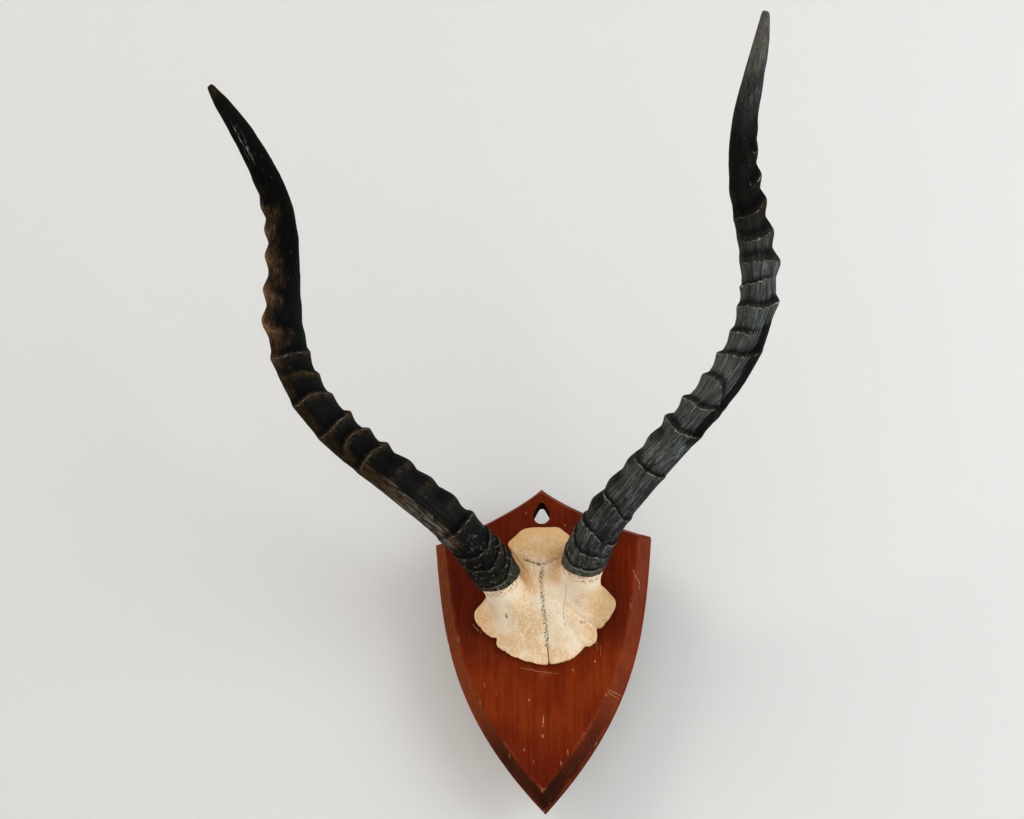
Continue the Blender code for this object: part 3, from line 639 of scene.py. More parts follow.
def wood_finish(look):
    """Red-brown stained hardwood: upright wavy grain, warm areas, pale chips and nicks. Darker
    areas mix stain with painted shade; the lower bevels and the hole hold painted shade, and the
    left bevel painted light.
    """
    m = Finish("stained wood", look.dark)
    place = m.place()
    x, y, z = m.split(place)
    drift = m.noise(place * (1.0, 1.0, 0.25), 14.0, 2.0)
    waved = m.vector("ADD", place, m.add("ShaderNodeCombineXYZ", {0: drift}) * (0.012, 0.0, 0.0))
    figure = m.noise(waved * (1.0, 1.0, 0.035), 430.0, 4.0, 0.6)
    streak = m.noise(waved * (1.0, 1.0, 0.02), 1100.0, 3.0, 0.6)
    pores = m.noise(waved * (1.0, 1.0, 0.05), 2300.0, 2.0, 0.6)
    cloud = m.noise(place, 17.0, 3.0)
    blot = m.noise(place * (1.0, 1.0, 0.6), 42.0, 4.0, 0.6)
    tone = figure * 0.6 + streak * 0.4
    m.paint(tone.levels(0.36, 0.6, 0.5, 1.05), look.middle)

    # Warmer orange wood over the lower middle of the face; on the right side and at the top it is
    # partly a painted sheen.
    warm = z.levels(0.03, -0.02) * z.levels(-0.105, -0.06)
    warm = warm.at_least(x.levels(0.05, 0.085, 0.0, 0.4)).at_least(z.levels(0.112, 0.135, 0.0, 0.5))
    warm = warm * blot.levels(0.36, 0.6, 0.2, 1.0)
    m.paint(warm * tone.levels(0.38, 0.62, 0.35, 0.65), look.orange)
    # Painted shade mixed with darker stain: the face is darkened beside the bone and horns, where
    # their shadows fall, on its left, towards its top and towards its bottom.
    bone_shadow = abs(x).levels(0.085, 0.06) * abs(z - 0.045).levels(0.055, 0.03)
    shade_and_stain = x.levels(0.01, -0.05) * z.levels(-0.03, 0.02)
    shade_and_stain = shade_and_stain.at_least(bone_shadow * y.levels(-0.01, -0.013))
    shade_and_stain = shade_and_stain.at_least(z.levels(-0.05, -0.12, 0.0, 0.7)).at_least(z.levels(0.06, 0.1, 0.0, 0.6))
    m.paint(shade_and_stain * blot.levels(0.3, 0.6, 1.0, 0.6) * 0.7, look.dark)

    bevel, inside = m.mark("bevel"), m.mark("inside")
    # Painted light: the left bevel is drawn lighter, as if lit from the left.
    left = x.levels(0.0, -0.03, 0.45, 1.0)
    m.paint(bevel * left * streak.levels(0.35, 0.6, 0.3, 0.8), look.rub_and_painted_light)
    # Painted shade with some darkened varnish: the bevels darken towards the tip, where they face
    # down.
    low_bevel_shade = bevel * z.levels(-0.02, -0.11)
    m.paint(low_bevel_shade * blot.levels(0.3, 0.6, 0.9, 0.7), look.painted_shade_wood)
    m.paint(pores.levels(0.6, 0.7, 0.0, 0.3), look.pore)
    # An orange line along the arrises: partly worn wood, partly a painted highlight.
    m.paint(m.mark("arris") * m.noise(place, 60.0, 3.0).levels(0.42, 0.62) * 0.55, look.orange)
    m.paint(m.mark("worn") * m.noise(place, 300.0, 4.0, 0.65).levels(0.5, 0.62) * 0.6, look.chip)
    # Painted shade: the wall of the hanging hole is drawn near black.
    m.paint(inside * 0.85, look.painted_shade_wood)

    jitter = m.add("ShaderNodeTexNoise", {"Vector": place, "Scale": 900.0}, 1) * (0.001, 0.0, 0.001)
    ragged = m.vector("ADD", place, m.vector("SUBTRACT", jitter, (0.0005, 0.0, 0.0005)))
    scratches = reduce(Value.at_least, [m.line(ragged, start, end, width) * strength
                                        for start, end, width, strength in SCRATCHES])
    scratches = scratches * y.levels(-0.012, -0.0125)
    m.paint(scratches * m.noise(place, 800.0, 3.0).levels(0.35, 0.55, 0.45, 1.0), look.chip)

    m.bumps(streak, 0.07)
    m.bumps(pores.levels(0.58, 0.72) + scratches, -0.07)
    gloss = (cloud + figure * 0.4).levels(0.5, 0.9, 0.34, 0.5)
    behind_face = y.levels(-0.0131, -0.0125)
    return m.done(gloss.at_least(inside).at_least(behind_face), {"Specular IOR Level": 0.05})


def screw_finish(color):
    """Zinc-plated steel, a little clouded and scratched round its turned surfaces."""
    m = Finish("screw steel", color)
    place = m.place()
    cloud = m.noise(place, 600.0, 3.0)
    m.paint(cloud.levels(0.4, 0.7, 0.0, 0.6), tuple(0.55 * c for c in color))
    m.bumps(m.noise(place * (1.0, 0.1, 1.0), 5000.0, 2.0), 0.02)
    return m.done(cloud.levels(0.3, 0.7, 0.28, 0.5), {"Metallic": 1.0})


def stage_finish(name, color):
    """A plain matt backdrop that is clear from behind, so that back views see past it."""
    m = Finish(name, color)
    m.done(0.9, {"Specular IOR Level": 0.1})
    clear = m.add("ShaderNodeBsdfTransparent", {})
    behind = m.add("ShaderNodeNewGeometry", {}, "Backfacing")
    shown = m.add("ShaderNodeMixShader", {0: behind, 1: Value(m, m.shader.outputs[0]), 2: clear})
    m.feed(m.nodes["Material Output"].inputs["Surface"], shown)
    return m.material


# ---------------------------------------------------------------- horns

def around(angles, inner, face, outer, back):
    """A value that goes smoothly round the horn through four given ones.

    Angle 0 is the face and 90 degrees the outer side. Each value counts by the square of the
    cosine or sine towards its own side, and these always add up to one.
    """
    c, s = np.cos(angles), np.sin(angles)
    return (inner * np.minimum(s, 0) ** 2 + outer * np.maximum(s, 0) ** 2
            + face * np.maximum(c, 0) ** 2 + back * np.minimum(c, 0) ** 2)


def sway(angles, seed, size, counts=(2, 3, 5, 8, 13)):
    """A closed wavy line round the horn: a few sines of random phase."""
    phases = np.random.default_rng(seed).uniform(0.0, 2 * math.pi, len(counts))
    waves = [np.sin(k * angles + phases[n]) / (1 + n) for n, k in enumerate(counts)]
    return size * np.sum(waves, axis=0)


def ring_relief(stations, angles, rings, seed):
    """Height of the rings on a grid of distance along the horn and angle round it.

    A ring is a crest with a slope on each side: (1 - distance / slope)^power, with the distance
    rounded at the crest. Rings that meet are joined by the fourth root of their fourth powers.
    Also handed back: the distance to the nearest clear crest, and from 0 to 1 the band of dirt
    below a crest, the painted shadow at the foot of its drop, and how far the horn has climbed
    since the last one.
    """
    total, band, foot = (np.zeros((len(stations), len(angles))) for _ in range(3))
    since = np.full_like(total, 99.0)
    near = np.full_like(total, 9.0)
    for number, (at, rise, form) in enumerate(rings):
        base_run, tip_run, round_off, base_power, tip_power, clear = RING_FORMS[form]
        loose = 1.1 if form == "layer" else 0.6
        crest = around(angles, *at, (at[0] + at[2]) / 2) + sway(angles, seed + number, loose)
        crest += sway(angles, seed + 20 + number, 0.2, (21, 34, 47))
        height = around(angles, *rise, RING_BACK) * (1 + sway(angles, seed + 50 + number, 0.12))
        away = stations[:, None] - crest
        below = away < 0.0
        slope = np.sqrt(away ** 2 + round_off ** 2) - round_off
        slope /= np.where(below, base_run, tip_run)
        power = np.where(below, base_power, tip_power)
        total += (height * np.clip(1.0 - slope, 0.0, 1.0) ** power) ** 4
        strong = ease(height / 1.3)
        near = np.minimum(near, np.abs(away + 0.2) + 3.0 * (1.0 - clear * strong))
        band = np.maximum(band, strong * bump(away, np.where(below, 4.0, 1.8)))
        foot = np.maximum(foot, strong * bump(away - 0.8 * tip_run, 0.55 * tip_run))
        since = np.minimum(since, np.where(away > 0.0, away + 30.0 * (1.0 - strong), 99.0))
    return total ** 0.25, near, band, foot, 1.0 - np.exp(-since / 7.0)


def rim_normal(side):
    """The direction in which a horn leaves the skull."""
    return np.array([side * math.sin(RIM_SPREAD) * math.cos(RIM_LEAN), -math.sin(RIM_LEAN),
                     math.cos(RIM_SPREAD) * math.cos(RIM_LEAN)])


def horn_frame(horn, stations):
    """Middle, front and outward directions at each distance along the horn, and its length.

    The directions lie in the rim's plane at the base and turn square to the middle line.
    """
    fine = curve_through(horn.path)(np.linspace(0.0, 1.0, 900))
    run = np.concatenate([[0.0], np.cumsum(np.linalg.norm(np.diff(fine, axis=0), axis=1))])
    heading = np.gradient(fine, run, axis=0)
    middle = np.stack([np.interp(stations, run, fine[:, k]) for k in range(3)], axis=1)
    normal = np.stack([np.interp(stations, run, heading[:, k]) for k in range(3)], axis=1)
    turned = ease(stations / RIM_TURN)[:, None]
    normal = unit(turned * normal + (1 - turned) * rim_normal(horn.side))
    front = unit(np.array([0.0, -1.0, 0.0]) + normal * normal[:, 1:2])
    return middle, front, horn.side * np.cross(normal, front), run[-1]


def horn_marks(horn, length, s, angles, sheath, rings, off_groove, along_groove):
    """What the horn's finish has to know at each point, as named grids from 0 to about 1.

    They say how dusty, brown or streaky the horn is there, and where its knobs, crests, scratches,
    base and tip lie. Brown is the soiled half of the horn, with a noisy border, and its lower
    outer edge. `s` is the distance along the horn and `turn` the angle round it in degrees.
    """
    relief, near, band, foot, climb = rings
    turn = np.degrees(angles)[None, :]
    turn = np.where(turn > 270.0, turn - 360.0, turn)
    border = 34.0 * noise(sheath, 12.0, horn.seed + 8) + 26.0 * noise(sheath, 4.0, horn.seed + 9)
    half = ramp(turn + border, -16.0, 46.0) * ramp(turn, 200.0, 170.0)
    high = ramp(s, horn.soiled_from, horn.soiled_from + 30.0) * ramp(s, 415.0, 375.0)
    soiled = horn.soiled * half * high
    outer = ramp(off_groove, -4.0, 6.0) * ramp(off_groove, 165.0, 145.0)
    low_edge = outer * ramp(s, 40.0, 65.0) * ramp(s, 300.0, 250.0)
    low_edge *= 1 - 0.6 * ramp(s, 140.0, 170.0)
    brown = 0.75 * soiled + horn.soiled_base * low_edge * (1 - high)
    brown = np.maximum(brown, 0.45 * horn.soiled * ramp(s, length - 13.0, length - 5.0))

    dust = np.interp(s, (0, 110, 150, 312, 348, length - 95, length - 25),
                     (horn.dust_low, horn.dust_low, horn.dust, 0.8 * horn.dust, 0.08 * horn.dust,
                      0.07 * horn.dust, horn.dust_tip))
    # The climb factor darkens the horn just past each crest and lightens it towards the next:
    # painted shade below the crest together with drier horn towards the next crest.
    dusty = dust * around(angles, 0.8, 1.0, 0.6, 0.3) * (0.25 + 0.75 * climb)
    dusty *= 1 - 0.9 * outer * ramp(s, 145.0, 161.0) * ramp(s, 272.0, 262.0)
    stringy = 0.75 * horn.soiled_base * outer * ramp(s, 45.0, 65.0) * ramp(s, 150.0, 110.0)
    stringy = np.maximum(stringy, 0.8 * along_groove * bump(off_groove - 1.5, 2.5))
    tip_spot = bump(s - length + 41.0, 4.5) * bump(turn - 10.0, 28.0)
    scored_from, scored_to, scored_turn, scored_width = horn.scored
    scored = bump(turn - scored_turn, scored_width)
    scored = scored * ramp(s, scored_from, scored_from + 6.0) * ramp(s, scored_to, scored_to - 10.0)
    clean = 1 - horn.soiled * ramp(s, 258.0, 278.0)
    marks = {
        "near_crest": near, "crest_band": band * clean * (0.35 + 0.65 * ramp(s, 70.0, 120.0)),
        "foot": foot * (1 - 0.7 * soiled), "dusty": dusty, "brown": np.clip(brown, 0, 1),
        "knob": soiled * np.clip(relief / 3.2, 0.0, 1.0) ** 1.4, "stringy": stringy,
        "scored": scored, "near_base": 1 - ease(s / 14.0), "low": 1 - ramp(s, 35.0, 65.0),
        "tip": horn.dust_tip * np.maximum(0.8 * ramp(s, length - 42.0, length - 22.0), tip_spot),
        "streaky": around(angles, 0.1, 0.7, 1.0, 0.8) * (1 - 0.3 * ramp(s, 160.0, 220.0)),
        "inner": around(angles, 1.3, 0.3, 0.0, 0.2),
    }
    marks = {name: grid + np.zeros_like(relief) for name, grid in marks.items()}
    return {"sheath": sheath, **marks}


def horn_skirt(horn, angles, sheath, radius):
    """Rows that fold the base under into a ragged skirt, and the middle of the horn's underside.

    Each is given by its distances along the rim's normal and out from the horn's middle.
    """
    middle, front, outward, _ = horn_frame(horn, np.zeros(1))
    hang = 0.9 + sway(angles, horn.seed + 90, 0.4) + 0.3 * noise(sheath, 2.5, horn.seed + 5)
    hang = np.clip(hang, 0.15, 1.9)
    normal = rim_normal(horn.side)
    ray = np.cos(angles)[:, None] * front + np.sin(angles)[:, None] * outward
    over = 0.3                     # the underside lies this far above the rim
    rows = [middle + (up + 0 * angles)[:, None] * normal + (out + 0 * angles)[:, None] * ray
            for up, out in ((over, 9.0), (over, PEDICLE_RADIUS + 0.3),
                            (-hang * 0.8, PEDICLE_RADIUS + 0.6), (-hang, radius - 0.5),
                            (-hang + 0.4, radius))]
    return rows, (middle + over * normal)[0]


def horn_surface(horn, fibre_depth):
    """The horn as a grid: its middle line plus a radius in each direction round it.

    The radius is the girth plus the rings less a lengthwise groove, plus lumps, lengthwise fibres,
    and wrinkles and pebbles near the base, which all fade out towards the tip. The body table also
    shifts the middle line outward. The finish lies on the unbent sheath, which is a straight
    cylinder that narrows with the tip. The first rows are the skirt.
    """
    length = horn_frame(horn, np.zeros(1))[3]
    stations = np.concatenate([np.linspace(1.2, SMOOTH_FROM, RINGED_ROWS),
                               np.linspace(SMOOTH_FROM, length - 0.25, SMOOTH_ROWS + 1)[1:]])
    s = stations[:, None]
    angles = np.linspace(0.0, 2 * math.pi, HORN_COLUMNS, endpoint=False)
    at, girths, shifts = np.array(horn.body).T
    girth, shift = (np.interp(stations, at * length / at[-1], value)[:, None]
                    for value in (girths, shifts))
    unbent = np.minimum(SHEATH_RADIUS, 1.4 * girth)
    sheath = np.stack(np.broadcast_arrays(unbent * np.cos(angles), unbent * np.sin(angles), s), -1)
    rings = ring_relief(stations, angles, horn.rings, horn.seed)

    low = 1 - ramp(s, 35.0, 75.0)
    rough = 0.34 * noise(sheath * (1, 1, 0.6), 11.0, horn.seed)
    rough += 0.16 * noise(sheath, 4.0, horn.seed + 1)
    rough += 0.22 * low * noise(sheath * (0.3, 0.3, 1.0), 1.7, horn.seed + 6)
    rough += 0.5 * (1 - ramp(s, 5.0, 14.0)) * noise(sheath, 2.3, horn.seed + 7)
    fibres = noise(sheath * (1, 1, 0.045), 1.5, horn.seed + 2)
    fibres += 0.7 * noise(sheath * (1, 1, 0.06), 3.4, horn.seed + 3)
    rough += fibre_depth * (1 - 0.6 * low) * fibres
    groove_turn, groove_from, groove_to, groove_depth = horn.groove
    along_groove = ramp(s, groove_from, groove_from + 15.0) * ramp(s, groove_to, groove_to - 20.0)
    off_groove = np.degrees(angles) - groove_turn + sway(s / 30.0, horn.seed, 2.5, (1, 2, 3))
    radius = girth + rings[0] - groove_depth * along_groove * bump(off_groove, 4.5)
    radius += ramp(s, length, length - 60.0) * rough

    middle, front, outward, _ = horn_frame(horn, stations)
    ray = (np.cos(angles)[None, :, None] * front[:, None]
           + np.sin(angles)[None, :, None] * outward[:, None])
    skirt, base = horn_skirt(horn, angles, sheath[0], radius[0])
    points = (middle + shift * outward)[:, None] + radius[..., None] * ray
    marks = horn_marks(horn, length, s, angles, sheath, rings, off_groove, along_groove)
    marks = {name: np.concatenate([np.repeat(grid[:1], len(skirt), 0), grid])
             for name, grid in marks.items()}
    end, _, end_outward, _ = horn_frame(horn, np.array([length]))
    return np.concatenate([skirt, points]), base, (end + shifts[-1] * end_outward)[0], marks


# ---------------------------------------------------------------- skull plate

def stalk(points, x, z, inside, side, rim):
    """Lifts the bone near a horn into its pedicle.

    Round the pedicle's foot, a disc of the surface becomes the pedicle's flat top under the horn.
    Outside the disc each point blends from the stalk, a cylinder that runs down from the top's
    edge, to its own place on the brow. It also hands back how far down the stalk each point is.
    """
    axis = rim_normal(side)
    across = unit(np.array([1.0, 0.0, 0.0]) - axis * axis[0])
    up = np.cross(axis, across)
    up = up if up[2] > 0 else -up
    foot = rim[[0, 2]] + np.array([side, 1.0]) * PEDICLE_FOOT
    dx, dz = x - foot[0], z - foot[1]
    away = np.hypot(dx, dz)
    turn = np.arctan2(dz, dx)
    share = np.clip((away - PEDICLE_DISC) / (PEDICLE_REACH - PEDICLE_DISC), 0.0, 1.0)
    spread = PEDICLE_RADIUS * np.clip(away / PEDICLE_DISC, 0.0, 1.0)
    down = PEDICLE_SUNK + PEDICLE_HEIGHT * share
    round_rim = np.cos(turn)[..., None] * across + np.sin(turn)[..., None] * up
    stem = rim + spread[..., None] * round_rim - down[..., None] * axis
    keep = ease(share)[..., None]
    lifted = (1 - keep) * stem + keep * points
    weight = ramp(inside, 1.0, 0.88)[..., None] * (away < PEDICLE_REACH)[..., None]
    return points + weight * (lifted - points), np.where(weight[..., 0] > 0.2, share, 9.0)


def sawn_outline():
    """The plate's outline with its saw nicks, the way out from its middle, and its two edges.

    The edges are the heights over the wood of the sawn side's lower and upper border.
    """
    share = np.arange(SKULL_COLUMNS) / SKULL_COLUMNS
    outline = curve_through(SKULL_OUTLINE, closed=True)(share)
    x, z = outline.T
    outward = unit(outline - SKULL_CENTRE)
    saw = noise(np.column_stack([x, z, x]), 2.0, 11)
    saw += 0.7 * noise(np.column_stack([x, z, z]), 5.0, 12)
    cut = 0.2 + 0.55 * ramp(z, 34.0, 14.0) * np.clip(saw + 0.3, 0.0, 1.6)
    for at_x, at_z, width, deep in EDGE_NICKS:
        cut += deep * np.clip(1.0 - np.hypot(x - at_x, z - at_z) / width, 0.0, 1.0) ** 0.7
    lift = GAP + 7.0 * bump(z - 30.0, 16.0) + 1.5 * bump(z + 14.0, 14.0)
    edge = lift + SKULL_EDGE + 5.0 * bump(z - 108.0, 22.0)
    return outline - outward * cut[:, None], outward, lift, edge


def skull_relief(x, z, inside, edge):
    """Height of the bone over the wood, and the marks of what is worked into it.

    The height is the edge's plus the rise to the middle line's, which falls off as one less the
    distance out to a power. Hollows, seams, creases and small holes are taken off it.
    """
    profile = curve_through(np.column_stack([SKULL_PROFILE_Z, SKULL_PROFILE_HEIGHT]))
    crown = np.interp(z, *profile(np.linspace(0.0, 1.0, 200)).T)
    height = edge + (crown - edge) * (1 - inside ** SKULL_FLATNESS)
    suture = x - beside(z, SUTURE_PATH)
    coronal = z - beside(x, CORONAL_PATH, 0)
    groove = x - beside(z, GROOVE_PATH)
    seam = ramp(z, 68.0, 66.0)
    grooved = ramp(z, 20.0, 23.0) * ramp(z, 42.0, 38.0)
    point = np.stack([x, z, 0 * x], axis=-1)
    height += 0.35 * noise(point, 10.0, 21) + 0.14 * noise(point * (1, 0.2, 1), 2.6, 22)
    height -= 0.7 * bump(suture, 6.0) * ramp(z, 64.0, 44.0)
    height -= 0.3 * bump(suture, 1.5) * seam + 0.25 * bump(coronal, 1.3)
    height += 1.0 * bump(coronal - 10.0, 7.0)
    knuckle = np.hypot(x - 40.5, z - 10.5)
    height -= 1.5 * ramp(knuckle, 6.5, 3.5) - 0.4 * bump(knuckle - 7.0, 1.2)
    height -= 0.45 * bump(groove, 0.7) * grooved
    height -= 0.5 * bump(distance_to(x, z, CREASE_PATH), 1.7)
    for side_x in (-26.0, 34.0):
        height -= 1.1 * bump(x - side_x, 4.5) * ramp(z, 18.0, 26.0) * ramp(z, 44.0, 34.0)
    pit = np.zeros_like(x)
    for at_x, at_z, size, deep in FORAMINA:
        hole = bump(np.hypot(x - at_x, z - at_z), size)
        height -= deep * hole
        pit = np.maximum(pit, hole * min(1.0, deep / 1.6))
    height -= 1.5 * bump(suture, 0.5) * ramp(z, 0.8, -0.7)

    marks = {name: sum(strength * bump(x - at_x, wide) * bump(z - at_z, high)
                       for at_x, at_z, wide, high, strength in spots)
             for name, spots in SKULL_SPOTS.items()}
    marks["blush"] += 0.3 * bump(knuckle - 5.6, 1.6) * ramp(z, 8.0, 14.0)
    marks["blush"] += 0.3 * ramp(knuckle, 6.5, 0.5)
    wings = bump(x + 56.0, 13.0) + 1.2 * bump(x - 64.0, 17.0) + bump(z - 108.0, 14.0)
    marks["edge"] = wings + 0.4 * bump(inside - 1.0, 0.02)
    marks = {name: np.clip(grid, 0, 1) for name, grid in marks.items()}
    marks["pit"] = pit
    marks["suture"] = np.stack([suture, z, seam * ramp(z, -2.0, 1.0)], axis=-1)
    shown = ramp(x, -15.0, -10.0) * ramp(x, 20.0, 15.0)
    marks["coronal"] = np.stack([coronal, x, shown], axis=-1)
    marks["groove"] = np.stack([groove, z, grooved], axis=-1)
    return height, marks


def skull_surface():
    """The skull plate as a grid from its crown, over its sawn edge, to its middle underneath.

    Its rows are ever larger copies of the outline on the way out and smaller ones on the way back.
    """
    outline, outward, lift, edge = sawn_outline()
    centre = np.array(SKULL_CENTRE)
    near_edge = 1 - 0.07 * np.linspace(0.93, 0, 14) ** 2
    inside = np.concatenate([np.linspace(0.004, 0.93, 132), near_edge])[:, None]
    flat = centre + inside[..., None] * (outline - centre)
    x, z = flat[..., 0], flat[..., 1]
    height, marks = skull_relief(x, z, inside, edge)
    top = np.stack([x, -WOOD_THICKNESS - height, z], axis=-1)
    burr, collar = np.zeros_like(x), np.zeros_like(x)
    for horn in HORNS.values():
        top, share_down = stalk(top, x, z, inside, horn.side, np.array(horn.path[0]))
        burr = np.maximum(burr, (share_down > 0) * ramp(share_down, 0.3, 0.2))
        collar = np.maximum(collar, bump(share_down - 0.3, 0.2))
    burr *= ramp(z, 72.0, 66.0)
    rough = 0.6 * burr * noise(top, 1.9, 31) + 0.12 * noise(top, 1.2, 32)
    across = unit(np.cross(unit(np.gradient(top, axis=0)), np.roll(top, -1, 1) - top))
    across *= np.sign(-across[..., 1:2])
    top = top + across * rough[..., None] * ramp(inside, 1.0, 0.98)[..., None]

    rows = []
    for part, bulge in ((0.03, 0.1), (0.12, 0.2), (0.3, 0.3), (0.5, 0.3), (0.7, 0.2), (0.88, 0.0),
                        (0.97, -0.3), (1.0, -0.6)):
        deep = edge + (lift - edge) * part
        ragged = bulge * 0.5 + 0.15 * noise(np.column_stack([outline, deep]), 1.3, 41)
        ring = outline + outward * np.minimum(ragged - 0.15, 0.05)[:, None]
        rows.append(np.column_stack([ring[:, 0], -WOOD_THICKNESS - deep, ring[:, 1]]))
    for part in (0.97, 0.92, 0.85, 0.77, SKULL_CONTACT, 0.66, 0.45, 0.2):
        ring = centre + part * (outline - centre)
        rise = GAP + (lift - GAP) * ease((part - SKULL_CONTACT) / (1 - SKULL_CONTACT))
        rows.append(np.column_stack([ring[:, 0], -WOOD_THICKNESS - rise, ring[:, 1]]))
    marks.update(burr=burr, collar=collar)
    marks = {name: np.concatenate([grid, np.repeat(grid[-1:], len(rows), 0)])
             for name, grid in marks.items()}
    below = np.array([centre[0], -WOOD_THICKNESS - GAP, centre[1]])
    return np.concatenate([top, rows]), top[0].mean(0), below, marks


# ---------------------------------------------------------------- shield

def bezier(corners, steps):
    """Points along a cubic Bezier curve at even lengths along it, without its last one."""
    t = np.linspace(0.0, 1.0, 400)[:, None]
    a, b, c, d = (np.array(corner) for corner in corners)
    fine = (1 - t) ** 3 * a + 3 * (1 - t) ** 2 * t * b + 3 * (1 - t) * t ** 2 * c + t ** 3 * d
    run = np.concatenate([[0.0], np.cumsum(np.linalg.norm(np.diff(fine, axis=0), axis=1))])
    at = run[-1] * np.arange(steps) / steps
    return np.stack([np.interp(at, run, fine[:, k]) for k in range(2)], axis=1)


def hole_radius(angles):
    """Distance from the middle of the hole's lower circle to its pear-shaped edge.

    The edge is the lower circle, the upper circle, or the straight line that touches both.
    """
    rise = HOLE_TOP_Z - HOLE_LOW_Z
    lean = math.asin((HOLE_LOW_RADIUS - HOLE_TOP_RADIUS) / rise)
    folded = np.abs(np.arctan2(np.cos(angles), np.sin(angles)))
    turn = math.pi / 2 - folded
    touch = math.atan2(rise + HOLE_TOP_RADIUS * math.sin(lean), HOLE_TOP_RADIUS * math.cos(lean))
    straight = HOLE_LOW_RADIUS / np.cos(np.clip(turn - lean, -1.2, 1.2))
    across = np.clip(HOLE_TOP_RADIUS ** 2 - (rise * np.cos(turn)) ** 2, 0.0, None)
    upper = rise * np.sin(turn) + np.sqrt(across)
    return np.where(turn < lean, HOLE_LOW_RADIUS, np.where(turn < touch, straight, upper))


def shield_rings():
    """The shield's outline, the inner edge of its bevel and the hole's edge, column by column.

    The bevel's edge is where the lines beside a point meet once each is moved in by its width.
    Columns whose edges would cross a corner's mitre are left out. The hole's point lies in the
    direction of the outline's, from the middle of the hole.
    """
    top, side = bezier(SHIELD_TOP_CURVE, TOP_COLUMNS), bezier(SHIELD_SIDE_CURVE, SIDE_COLUMNS)
    half = np.vstack([top, side, SHIELD_SIDE_CURVE[-1]])
    after = np.concatenate([np.full(TOP_COLUMNS, BEVEL_TOP),
                            np.linspace(BEVEL_SHOULDER, BEVEL_TIP, SIDE_COLUMNS + 1)])
    before = after.copy()
    before[TOP_COLUMNS] = BEVEL_TOP
    outline = np.vstack([half, half[-2:0:-1] * (-1, 1)])
    before, after = (np.concatenate([before, after[-2:0:-1]]),
                     np.concatenate([after, before[-2:0:-1]]))
    along = unit(np.roll(outline, -1, 0) - outline)
    into = np.column_stack([along[:, 1], -along[:, 0]])
    into_before = np.roll(into, 1, 0)
    cross = into_before[:, 0] * into[:, 1] - into_before[:, 1] * into[:, 0]
    straight = np.abs(cross) < 1e-4
    cross = np.where(straight, 1.0, cross)
    meet = np.column_stack([before * into[:, 1] - after * into_before[:, 1],
                            after * into_before[:, 0] - before * into[:, 0]]) / cross[:, None]
    meet = np.where(straight[:, None], into * after[:, None], meet)
    inset = outline + meet
    top_end, shoulder, tip = 0, TOP_COLUMNS, TOP_COLUMNS + SIDE_COLUMNS
    clear = 0.3                    # least distance from a mitre
    keep = inset[:tip + 1, 0] > clear
    keep[:shoulder] &= inset[:shoulder, 0] < inset[shoulder, 0] - clear
    keep[shoulder:] &= inset[shoulder:tip + 1, 1] < inset[shoulder, 1] - clear
    keep[[top_end, shoulder, tip]] = True
    keep = np.concatenate([keep, keep[-2:0:-1]])
    outline, inset = outline[keep], inset[keep]
    away = outline - (HOLE_X, HOLE_LOW_Z)
    angles = np.arctan2(away[:, 1], away[:, 0])
    hole = hole_radius(angles)[:, None] * unit(away) + (HOLE_X, HOLE_LOW_Z)
    return outline, inset, hole


